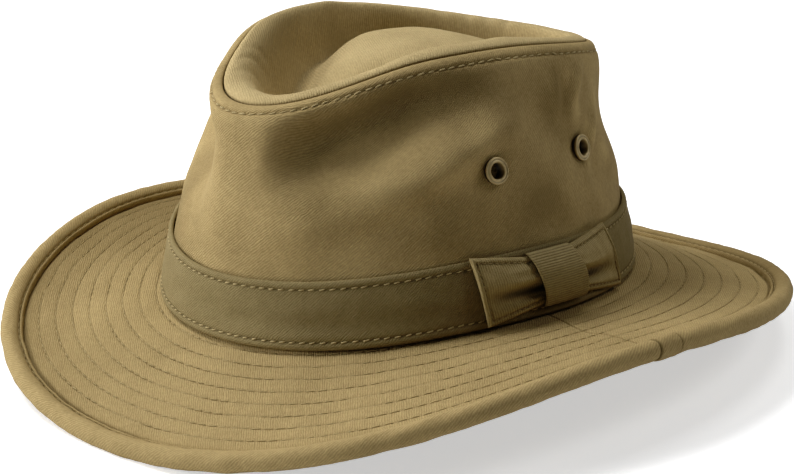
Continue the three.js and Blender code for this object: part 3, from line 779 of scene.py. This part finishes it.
def makeBrim():
    angles = evenAngles(brim["columns"], [(brim["seamAngle"], 3.5, 0.14)])
    inner = headR(angles) - brim["margin"]
    outer = edgeR(angles) - brim["rollRadius"] + brim["tuck"]
    rows = [stitchR(angles, row + step) for row in range(brim["rows"]) for step in rowSteps]
    lipR = edgeR(angles) - brim["lipInside"]
    rows += [stitchR(angles, brim["rows"] - 0.5)] + [lipR - inside for inside in ditchSteps] + [outer]
    radii = np.array([inner, lerp(inner, rows[0], 0.5)] + rows)
    radii = np.maximum.accumulate(radii + np.linspace(0, 1e-3, len(radii))[:, None], 0)
    z, steep = brimTop(angles[None], radii)
    base = place(angles[None], radii, z)
    normal = upFrom(angles[None], steep)
    pitch = stitchR(angles, 1) - stitchR(angles, 0)
    phase = (radii - stitchR(angles, 0)) / pitch
    nearest = np.clip(np.round(phase), 0, brim["rows"] - 1)
    away = (phase - nearest) * pitch
    uneven = 1 + 0.3 * ripples(base, 9, 21)
    groove = brim["groove"] * bell(away, brim["grooveWidth"]) * uneven
    puff = brim["puff"] * np.sin(pi * np.clip(np.abs(phase - nearest), 0, 0.5))
    puff = puff * (1 + 0.35 * ripples(base, 14, 22))
    lines = bell((angles[None] - seamLine(radii)) * radii, brim["seamWidth"])
    ditch = bell(radii - lipR, brim["ditchWidth"])  # the binding's seam pulls the cloth down
    soft = brim["softDepth"] * ripples(base, brim["softSize"], 23)
    relief = puff - groove - brim["seamDepth"] * lines + soft - brim["ditch"] * ditch
    top = base + normal * relief[..., None]
    under = base - normal * (brim["cloth"] + relief * 0.8)[..., None]
    grid = np.concatenate([top, under[::-1]])
    # Painted shade in the stitch rows, along the radial seam and in the dark line inside the binding.
    dark = np.maximum(brim["rowShade"] * bell(away, 0.32) * (0.4 + 0.6 * uneven), brim["seamShade"] * lines)
    dark = np.maximum(dark, brim["ditchShade"] * bell(radii - lipR, 0.7))
    seam = np.concatenate([dark, dark[::-1]])
    uv = wrapped(wrapped(grid, 0))[..., :2]
    # Painted light and shade from the table, and painted shade near the binding on the wearer's right front.
    fade = 0
    for middle, low, high, amount in paintedBrimShading:
        fade = fade + amount * lobe(turned(angles) - middle, low, high)[None]
    outward = lobe(phase / (brim["rows"] - 1) - 1, 0.5, 0.5)
    fade = fade - 0.2 * outward * lobe(turned(angles) + 45, 50, 50)
    paintedLightAndShade = np.concatenate([fade, fade[::-1]])
    piece = makeMesh("brim_cloth", grid.reshape(-1, 3), quads(*grid.shape[:2], True, True), quadUvs(uv),
                     {"seam": seam, "paintedLightAndShade": paintedLightAndShade})
    dress(piece, brimCanvas, "canvas", "brim")
    stitchPaths, underPaths = [], []
    fine = evenAngles(900)
    for row in range(brim["rows"]):
        r = stitchR(fine, row)
        z, steep = brimTop(fine, r)
        out = upFrom(fine, steep)
        middle = place(fine, r, z)
        stitchPaths.append((middle - out * 0.16, out, True))
        underPaths.append((middle - out * (brim["cloth"] - 0.3), -out, True))
    stitchRow("brim_stitches", stitchPaths, brimStitch, brimThread, "canvas", 31)
    underStitch = {**brimStitch, "rings": 3, "sides": 5}
    stitchRow("brim_under_stitches", underPaths, underStitch, brimThread, "canvas", 32)


brimStitch = {"pitch": 4.9, "length": 4.3, "radius": 0.19, "lift": 0.14, "sink": 0.26, "slant": 0.035,
              "rings": 4, "sides": 6}
makeBrim()
print("brim made")

binding = {
    "columns": 900, "roll": 4.05, "rollTurn": 152, "ridgeAt": -4.5, "ridgeHalf": 0.75, "ridgeRise": 1.5,
    "ridgeFoot": 0.2, "underAt": -3.7, "underHalf": 1.2, "underDrop": 1.0, "underGap": 0.1,
    "back": [(-5, -1.9), (-5.1, -0.6)], "ditchAt": -3.6, "stitchAt": -3.75, "stitchUp": 1.5, "uneven": 0.13,
    "jointAngle": 83.8, "jointGap": 11.2, "jointStep": 0.3, "jointGroove": 0.5, "jointBend": 1.4,
    "fade": (145, 32, 50, -0.5),  # painted shade on the far side: angle, reaches and amount
}


def bindingSection():  # (out, up) points of the section: over the roll, under it, then back over the ridge
    def arc(middleOut, middleUp, halfWidth, halfHeight, fromTurn, toTurn, count):
        turns = np.radians(np.linspace(fromTurn, toTurn, count))
        return [(middleOut + halfWidth * math.cos(t), middleUp + halfHeight * math.sin(t)) for t in turns]

    roll, rollTurn = binding["roll"], binding["rollTurn"]
    underUp = -brim["cloth"] - binding["underGap"]
    points = arc(0, 0, roll, roll, rollTurn, -rollTurn, 40)
    points += arc(binding["underAt"], underUp, binding["underHalf"], binding["underDrop"], -20, -180, 9)
    points += binding["back"]
    ridgeHalf, ridgeRise = binding["ridgeHalf"], binding["ridgeRise"]
    points += arc(binding["ridgeAt"], binding["ridgeFoot"], ridgeHalf, ridgeRise, 180, 15, 13)
    return np.array(points)


def besideEdge(angle, steep, out, up):  # distance from the axis and height of a point beside the brim's edge
    r = edgeR(angle) + out * np.cos(steep) - up * np.sin(steep)
    return r, edgeZ(angle) + out * np.sin(steep) + up * np.cos(steep)


def makeBinding():
    angles = evenAngles(binding["columns"], [(binding["jointAngle"], 5, 0.12)])
    section = bindingSection()
    _, steep = brimTop(angles, edgeR(angles))
    out, off = section[:, :1], section[:, 1:]
    turn = np.arctan2(off, out)
    arc = angles * edgeR(angles)
    joint = edgeR(angles) * (turned(angles) - binding["jointAngle"]) * degree
    bend = binding["jointBend"] * np.cos(turn - 0.6)
    onRoll = np.hypot(out, off) > binding["roll"] - 0.05
    half = binding["jointGap"] / 2
    lines = np.maximum(bell(joint + half - bend, 0.45), bell(joint - half - bend, 0.45)) * onRoll
    between = (np.abs(joint - bend) < half) * onRoll
    flat = place(angles, edgeR(angles), edgeZ(angles))[None] + np.zeros((len(section), 1, 1))
    uneven = ripples(flat + section[:, None, :1] * 2, 17, 41) + 0.6 * ripples(flat, 6, 42)
    rise = binding["uneven"] * uneven + binding["jointStep"] * between - binding["jointGroove"] * lines
    grow = 1 + rise / binding["roll"] * onRoll
    out, off = out * grow, off * grow
    r, z = besideEdge(angles, steep, out, off)
    grid = place(angles[None], r, np.maximum(z, 0))
    # Painted shade in the joint's grooves and in the ditch beside the ridge.
    ditch = bell(section[:, :1] - binding["ditchAt"], 0.45) * (section[:, 1:] > 0)
    seam = np.maximum(0.7 * lines, 0.4 * ditch + np.zeros_like(r))
    v = wrapped(lengthsAlong(wrapped(grid, 0), 0))
    u = np.append(arc, arc[0] + 2 * pi * edgeR(pi))[None] + np.zeros_like(v)
    uv = np.stack([u, v], -1)
    middle, low, high, amount = binding["fade"]
    # Painted shade on the binding's far side.
    paintedLightAndShade = amount * lobe(turned(angles) - middle, low, high)[None] + np.zeros_like(r)
    piece = makeMesh("binding_cloth", grid.reshape(-1, 3), quads(*grid.shape[:2], True, True), quadUvs(uv),
                     {"seam": seam, "paintedLightAndShade": paintedLightAndShade})
    dress(piece, bindingCanvas, "canvas", "brim_binding")
    fine = evenAngles(1000)
    _, steep = brimTop(fine, edgeR(fine))
    path = place(fine, *besideEdge(fine, steep, binding["stitchAt"], binding["stitchUp"]))
    edgeStitch = {**brimStitch, "radius": 0.17}
    stitchRow("binding_stitches", [(path, upFrom(fine, steep), True)], edgeStitch, brimThread, "canvas", 43)


makeBinding()
print("binding made")

band = {
    "low": 0.4, "high": 26.5, "gap": 0.45, "cloth": 1.4, "columns": 620, "edgeRadius": 0.75,
    "stitchInside": 3.0, "groove": 0.35, "grooveWidth": 0.6, "edgePuff": 0.3, "belly": 0.25, "valley": 0.8,
    "valleyHeight": 11.5, "valleyLean": 0.055, "softSize": 24, "softDepth": 0.22, "fineSize": 7,
    "fineDepth": 0.08, "ease": 0.25, "grainR": 97,
}
edgeRows = [0, 0.12, 0.35, 0.75, 1.4, 2.0, 2.5, 2.8, 3.0, 3.2, 3.5, 4.0, 5.0]  # closest at the stitches


def shellMesh(name, front, back, uv, wrap, seam, closeEnds):  # two faces of one cloth that share their border
    rows, columns = front.shape[:2]
    frontIndex = np.arange(rows * columns).reshape(rows, columns)
    border = np.zeros((rows, columns), bool)
    border[[0, -1]] = True
    if closeEnds:
        border[:, [0, -1]] = True
    backIndex = np.where(border, frontIndex, rows * columns + np.cumsum(~border).reshape(rows, columns) - 1)
    points = np.concatenate([front.reshape(-1, 3), back[~border]])
    frontFaces = quads(rows, columns, False, wrap)
    backFaces = backIndex.ravel()[frontFaces][:, ::-1]
    corners = quadUvs(uv)
    uvs = np.concatenate([corners, corners.reshape(-1, 4, 2)[:, ::-1].reshape(-1, 2)])
    return makeMesh(name, points, np.concatenate([frontFaces, backFaces]), uvs,
                    {"seam": np.concatenate([seam.ravel(), seam[~border]])})


def makeBand():
    angles = evenAngles(band["columns"])
    top = band["high"] - band["low"]
    middleRows = list(np.linspace(6.2, top - 6.2, 14))
    rows = np.array(edgeRows + middleRows + [top - inside for inside in edgeRows[::-1]])
    heights = rows[:, None] + band["low"]
    fromEdge = np.minimum(rows, top - rows)[:, None]
    base, normal = overCrown(angles[None], heights + np.zeros_like(angles), 0)
    away = turned(angles)[None]
    relief = band["belly"] * np.sin(pi * rows / top)[:, None] + band["edgePuff"] * np.sin(
        pi * np.clip(fromEdge / band["stitchInside"], 0, 1))
    groove = bell(fromEdge - band["stitchInside"], band["grooveWidth"])
    valleyHeight = band["valleyHeight"] - band["valleyLean"] * away
    valley = band["valley"] * lobe(heights - valleyHeight, 5.5, 7) * lobe(away - 25, 70, 60)
    soft = band["softDepth"] * ripples(base * [1, 1, 2.2], band["softSize"], 51)
    soft = soft + band["fineDepth"] * ripples(base, band["fineSize"], 52)
    inside = np.clip((fromEdge - 3.5) / 2, 0, 1)
    relief = relief - band["groove"] * groove + (soft - valley) * inside + band["ease"]
    half = band["cloth"] / 2 * edgeRound(fromEdge, band["edgeRadius"])
    middle = band["gap"] + band["cloth"] / 2
    front = base + normal * (middle + half + relief * edgeRound(fromEdge, 1.5))[..., None]
    back = base + normal * (middle - half)[..., None]
    # Painted shade along the stitch grooves.
    seam = 0.45 * bell(fromEdge - band["stitchInside"], 0.45) + np.zeros((1, len(angles)))
    ends = np.append(angles, angles[0] + 2 * pi)
    uv = np.stack(np.broadcast_arrays(ends[None] * band["grainR"], rows[:, None]), -1)
    piece = shellMesh("band_cloth", front, back, uv, True, seam, False)
    dress(piece, bandCanvas, "band_canvas", "hat_band")
    inset = band["stitchInside"]
    stitched = [np.abs(rows - height).argmin() for height in (inset, top - inset)]
    paths = [(front[row] + normal[row] * 0.05, normal[row], True) for row in stitched]
    stitchRow("band_stitches", paths, bandStitch, thread, "band_canvas", 53)


bandStitch = {"pitch": 4.1, "length": 3.0, "radius": 0.3, "lift": 0.32, "sink": 0.35, "slant": 0.16,
              "rings": 5, "sides": 6}
makeBand()
print("band made")

bow = {
    "angle": 85.2, "lean": -3.2, "knotHalf": 7, "knotLow": 3.6, "knotHigh": 25.2, "onBand": 0.45 + 1.4 + 0.3,
    "frontReach": 15.2, "backReach": 17.4, "under": 2.2, "cloth": 1.8, "puff": 4.5, "puffFall": 0.6,
    "gather": 0.3, "gatherReach": 0.1, "fold": 5, "foldFall": 1.6, "radius": 98,
    "pleats": 34, "pleatDepth": 0.25,
    "lowAtKnot": 4.8, "highAtKnot": 24, "lowAtEnd": 0.6, "highAtEnd": 27.8,
    "foldMiddle": 0.34, "foldBelow": 0.22, "foldAbove": 0.24,
    "knotCloth": 1.3, "knotEdge": 2.2, "knotRise": 5.4, "ribs": 24, "ribDepth": 0.27,
    "stitchInside": 2.1, "edgeRadius": 0.9,
}


def bowAngle(share):
    return bow["angle"] + bow["lean"] * (share - 0.5)


def wingAt(along, across, side, reach):
    spread = np.maximum(along, 0)
    low = lerp(bow["lowAtKnot"], bow["lowAtEnd"], spread)
    high = lerp(bow["highAtKnot"], bow["highAtEnd"], spread)
    gathered = 1 - bow["gather"] * np.exp(-spread / bow["gatherReach"])
    full = bow["puff"] * gathered * (1 - bow["puffFall"] * spread) * np.sin(pi * across)
    crease = lobe(across - bow["foldMiddle"], bow["foldBelow"], bow["foldAbove"])
    lift = np.maximum(full - bow["fold"] * (1 - spread ** bow["foldFall"]) * crease, 0)
    angle = (bowAngle(across) + side * (bow["knotHalf"] + along * reach)) * degree
    return angle, lerp(low, high, across), bow["cloth"] + lift


def wingTall(along):  # height of the wing's cloth on its way out from the knot
    return lerp(bow["highAtKnot"] - bow["lowAtKnot"], bow["highAtEnd"] - bow["lowAtEnd"], along)


def makeWing(name, node, side, reach, seed):  # the cloth; returns the path of its stitches
    along = spacing(-bow["under"] / reach, (0.82, 44), (0.97, 14), (1, 5))
    across = spacing(0, (0.035, 5), (0.16, 12), (0.84, 40), (0.965, 12), (1, 5))
    u, v = np.meshgrid(along, across)
    angle, height, out = wingAt(u, v, side, reach)
    base, normal = overCrown(angle, height, 0)
    lengthAlong = reach * bow["radius"] * degree
    fromSide = np.minimum(v, 1 - v) * wingTall(np.maximum(u, 0))
    fromEdge = np.minimum((1 - u) * lengthAlong, fromSide)
    groove = bell(fromEdge - bow["stitchInside"], 0.5)
    puff = 0.3 * np.sin(pi * np.clip(fromEdge / bow["stitchInside"], 0, 1))
    pleats = bow["pleatDepth"] * np.sin(v * bow["pleats"] + 1.3 * np.sin(u * 5))  # they start at the knot
    pleats = pleats * np.clip(1 - u * 1.6, 0, 1) * np.clip(fromSide / 3, 0, 1)
    relief = puff - 0.3 * groove + pleats + 0.12 * ripples(base, 6, seed) * np.clip(fromEdge / 3, 0, 1)
    fromStart = (u - along[0]) * lengthAlong + 0.01
    half = bow["cloth"] / 2 * edgeRound(np.minimum(fromEdge, fromStart), bow["edgeRadius"])
    middle = bow["onBand"] + out - bow["cloth"] / 2
    front = base + normal * (middle + half + relief * edgeRound(fromEdge, 1.2))[..., None]
    back = base + normal * (middle - half)[..., None]
    # Painted shade along the stitch groove.
    seam = 0.45 * bell(fromEdge - bow["stitchInside"], 0.4)
    spread = np.clip(u, 0, 1)
    foldMiddle = bow["foldMiddle"] - 0.02 + 0.08 * spread  # the fold's shade climbs a little on its way out
    # Painted shadow in the wing's fold, from the knot outwards.
    seam = np.maximum(seam, lobe(v - foldMiddle, 0.13, 0.15) * (1 - spread ** bow["foldFall"]))
    uv = np.stack([v * 26, u * lengthAlong], -1)
    piece = shellMesh(name, front, back, uv, False, seam, True)
    dress(piece, bowCanvas, "band_canvas", node)
    inset = bow["stitchInside"]
    endU = 1 - inset / lengthAlong
    outward = np.linspace(0.02, endU, 30)
    inward = inset / wingTall(outward)
    walkU = np.concatenate([outward, np.full(20, endU), outward[::-1]])
    walkV = np.concatenate([inward, np.linspace(inward[-1], 1 - inward[-1], 20), 1 - inward[::-1]])
    angle, height, out = wingAt(walkU, walkV, side, reach)
    return *overCrown(angle, height, bow["onBand"] + out - 0.08), False


def makeWings():
    sides = (("front", -1, bow["frontReach"], 61), ("back", 1, bow["backReach"], 62))
    paths = [makeWing(f"bow_{name}_wing_cloth", f"bow_{name}_wing", side, reach, seed)
             for name, side, reach, seed in sides]
    wingStitch = {**bandStitch, "pitch": 2.6, "length": 1.9, "radius": 0.2, "lift": 0.2}
    stitchRow("bow_stitches", paths, wingStitch, bowThread, "band_canvas", 63)


def makeKnot():  # ribbed ribbon over the inner ends of the wings
    along = spacing(-1, (-0.86, 5), (0.86, 14), (1, 5))
    across = np.linspace(0, 1, bow["ribs"] * 8 + 1)
    u, v = np.meshgrid(along, across)
    angle = (bowAngle(v) + u * bow["knotHalf"]) * degree
    height = lerp(bow["knotLow"], bow["knotHigh"], v)
    out = bow["onBand"] + bow["knotEdge"] + bow["knotRise"] * np.sin(pi * np.clip(v, 0, 1)) ** 0.6
    base, normal = overCrown(angle, height, 0)
    fromSide = (1 - np.abs(u)) * bow["knotHalf"] * bow["radius"] * degree
    fromEnd = np.minimum(v, 1 - v) * 30
    half = bow["knotCloth"] / 2 * edgeRound(np.minimum(fromSide, fromEnd), 0.6)
    ribs = np.abs(np.sin(pi * v * bow["ribs"]))
    rib = bow["ribDepth"] * (ribs - 0.5) * np.clip(fromSide / 0.5, 0, 1)
    sway = 0.12 * ripples(base, 9, 64)
    middle = out - bow["knotCloth"] / 2 + sway
    front = base + normal * (middle + half + rib)[..., None]
    back = base + normal * (middle - half)[..., None]
    # Painted shade in the gaps between the ribs.
    seam = 0.55 * (1 - ribs) ** 2
    uv = np.stack([u * 14, v * 30], -1)
    piece = shellMesh("bow_knot_ribbon", front, back, uv, False, seam, True)
    dress(piece, grosgrain, "grosgrain", "bow_knot")


bowThread = threadMaterial("bow_thread", {
    "dark": (0.3, 0.225, 0.1), "light": (0.46, 0.36, 0.18), "patchSize": 8, "fleckSize": 0.5,
})
# Its darkest colour is the painted shadow in the wings' folds and stitch grooves.
bowCanvas = clothMaterial("bow_canvas", {
    **bandLook, "dark": (0.27, 0.208, 0.094), "light": (0.54, 0.43, 0.22), "seam": (0.035, 0.024, 0.009),
    "pitch": 1.05, "slant": 0.04, "wander": 0.7, "weaveAmount": 0.5,
})
grosgrain = clothMaterial("grosgrain", {
    **bandLook, "dark": (0.27, 0.21, 0.098), "light": (0.55, 0.44, 0.225), "pitch": 0.42, "slant": 0.0,
    "weaveAmount": 0.3, "bump": 0.5,
})
makeWings()
makeKnot()
print("bow made")


def brassMaterial():  # dull antique brass, rubbed brighter on the high ring, with painted shade in the dish and down the bore
    material = bpy.data.materials.new("brass")
    material.use_nodes = True
    tree = material.node_tree
    shader = tree.nodes["Principled BSDF"]
    wear = add(tree, "ShaderNodeGroup", node_tree=clothWear)
    fill(wear, {"Patch Size": 2.5, "Fleck Size": 0.4})
    hollow = add(tree, "ShaderNodeAttribute", attribute_name="seam").outputs["Fac"]
    level = sums(tree, "MULTIPLY_ADD", wear.outputs["Patch"], 0.6, hollow)
    rubbed, sunk = (0.74, 0.58, 0.3, 1), (0.085, 0.064, 0.03, 1)
    colour = add(tree, "ShaderNodeMix", {0: level, 6: rubbed, 7: sunk}, data_type="RGBA")
    tree.links.new(colour.outputs[2], shader.inputs["Base Color"])
    rough = sums(tree, "MULTIPLY_ADD", wear.outputs["Fleck"], 0.3, 0.27)
    tree.links.new(rough, shader.inputs["Roughness"])
    bump = add(tree, "ShaderNodeBump", {"Height": wear.outputs["Fleck"], "Strength": 0.25,
                                        "Distance": 0.0001})
    tree.links.new(bump.outputs[0], shader.inputs["Normal"])
    fill(shader, {"Metallic": 0.3})
    return material


def eyeletProfile():  # (radius, out) of the section: over the flange, down the bore and round the washer
    flange, bore, stand, washerR = eyelet["flange"], eyelet["bore"], eyelet["standOff"], eyelet["washer"]
    inner = -crown["cloth"] - stand
    under = inner - eyelet["washerThick"]
    roll, flat, lip = eyelet["rimRoll"], eyelet["rimFlat"], eyelet["lipRoll"]
    points = [(flange - roll + roll * math.cos(t), stand + flat + flat * math.sin(t))
              for t in np.radians(np.linspace(-90, 100, 10))]
    points += [(flange - 0.75, stand + 0.74), (flange - 0.95, stand + 0.7)]
    points += [(bore + lip + lip * math.cos(t), eyelet["crown"] - lip + lip * math.sin(t))
               for t in np.radians(np.linspace(60, 180, 8))]
    points += [(bore, under), (bore + 0.2, under - eyelet["washerBulge"]), (washerR - 0.2, under)]
    points += [(washerR, inner - 0.2), (washerR - 0.1, inner), (eyelet["barrel"], inner)]
    points += [(eyelet["barrel"], eyelet["flangeFoot"]), (flange - 0.15, eyelet["flangeFoot"])]
    return np.array(points)


def makeEyelets():
    metal = brassMaterial()
    profile = eyeletProfile()
    turn = np.linspace(0, 2 * pi, eyelet["sides"] + 1)
    rows = np.arange(len(profile) + 1)[:, None]
    uv = np.stack(np.broadcast_arrays(turn[None] * eyelet["barrel"], rows), -1)
    # Painted shade: nearly black down the bore and under the flange, darker in the dish.
    inDish = np.abs(profile[:, 0] - eyelet["flange"] + 0.85) < 0.2
    inBore = profile[:, 1] < eyelet["standOff"] - 0.05
    hollow = np.where(inBore, 1.0, np.where(inDish, 0.3, 0.0))
    seam = hollow[:, None] + np.zeros(eyelet["sides"])
    for node, (middle, axis) in zip(eyelet["nodes"], eyeletPlaces):
        ring = ringRound(axis, eyelet["sides"])
        grid = middle + profile[:, None, :1] * ring + profile[:, None, 1:] * axis
        piece = makeMesh(f"{node}_ring", grid.reshape(-1, 3), quads(*grid.shape[:2], True, True), quadUvs(uv),
                         {"seam": seam})
        dress(piece, metal, "brass", node)


makeEyelets()
print("eyelets made")

studio = {
    "floorSize": 6, "floor": (0.88, 0.88, 0.88), "floorGlow": 0.55, "world": 0.015, "backdrop": 1.0,
    "distance": 1.5, "lightsAim": 0.07,
    "lights": {  # angle round the hat and height, in degrees, size in metres and power
        "key_front": (-30, 15, 0.6, 11.5),
        "key_left": (-70, 15, 0.6, 4.8),
        "key_high": (-60, 62, 0.5, 14.2),
        "back_left": (-120, 62, 0.5, 2.4),
        "back_high": (180, 62, 0.5, 3.8),
        "back_right": (130, 38, 0.5, 3.9),
    },
    "tones": [(0.02, 0.0097), (0.06, 0.0449), (0.15, 0.1337), (0.4, 0.3875)],  # deepens the shadows a little
}


def outFrom(angle, high):  # the way from the hat to a light or the camera
    return Vector((math.sin(angle) * math.cos(high), -math.cos(angle) * math.cos(high), math.sin(high)))


def makeFloor():
    half = studio["floorSize"] / 2
    mesh = bpy.data.meshes.new("floor")
    corners = [(-half, -half, 0), (half, -half, 0), (half, half, 0), (-half, half, 0)]
    mesh.from_pydata(corners, [], [(0, 1, 2, 3)])
    floor = newObject("floor", mesh)
    material = bpy.data.materials.new("floor")
    material.use_nodes = True
    tree = material.node_tree
    shader = tree.nodes["Principled BSDF"]
    fill(shader, {"Base Color": (*studio["floor"], 1), "Roughness": 0.9, "Emission Color": (1, 1, 1, 1)})
    seen = add(tree, "ShaderNodeLightPath").outputs["Is Camera Ray"]  # bright paper that lights nothing
    tree.links.new(sums(tree, "MULTIPLY", seen, studio["floorGlow"]), shader.inputs["Emission Strength"])
    mesh.materials.append(material)


def makeLights():  # a faint world, the plain backdrop that the camera sees, and the lamps
    world = bpy.data.worlds.new("studio")
    bpy.context.scene.world = world
    world.use_nodes = True
    tree = world.node_tree
    seen = add(tree, "ShaderNodeLightPath").outputs["Is Camera Ray"]
    level = sums(tree, "MULTIPLY_ADD", seen, studio["backdrop"] - studio["world"], studio["world"])
    tree.links.new(level, tree.nodes["Background"].inputs[1])
    tree.nodes["Background"].inputs[0].default_value = (1, 1, 1, 1)
    for name, (angle, high, size, power) in studio["lights"].items():
        light = bpy.data.lights.new(name, "AREA")
        light.size, light.energy = size, power
        lamp = newObject(name, light)
        away = outFrom(angle * degree, high * degree)
        lamp.location = Vector((0, 0, studio["lightsAim"])) + away * studio["distance"]
        lamp.rotation_euler = away.to_track_quat("Z", "Y").to_euler()


view = {"azimuth": 44.8, "elevation": 17.13, "distance": 0.978, "lens": 106.6, "roll": -2.12,
        "target": (0, 0.00075, 0.060), "shiftX": -0.0006, "shiftY": -0.04975}


def setTones():
    settings = bpy.context.scene.view_settings
    settings.view_transform = "Standard"
    settings.use_curve_mapping = True
    for given, shown in studio["tones"]:
        settings.curve_mapping.curves[3].points.new(given, shown)
    settings.curve_mapping.update()


def makeCamera():
    azimuth, elevation, roll = (view[key] * degree for key in ("azimuth", "elevation", "roll"))
    back = outFrom(azimuth, elevation)
    right = Vector((math.cos(azimuth), math.sin(azimuth), 0))
    up = back.cross(right)
    camera = newObject("camera", bpy.data.cameras.new("camera"))
    bpy.context.scene.camera = camera
    across = right * math.cos(roll) + up * math.sin(roll)
    upward = up * math.cos(roll) - right * math.sin(roll)
    axes = Matrix((across, upward, back)).transposed().to_4x4()
    camera.matrix_world = Matrix.Translation(Vector(view["target"]) + back * view["distance"]) @ axes
    camera.data.sensor_width, camera.data.lens = 36, view["lens"]
    camera.data.shift_x, camera.data.shift_y = view["shiftX"], view["shiftY"]
    camera.data.clip_start = 0.01


makeFloor()
makeLights()
makeCamera()
setTones()
print("studio and camera made")
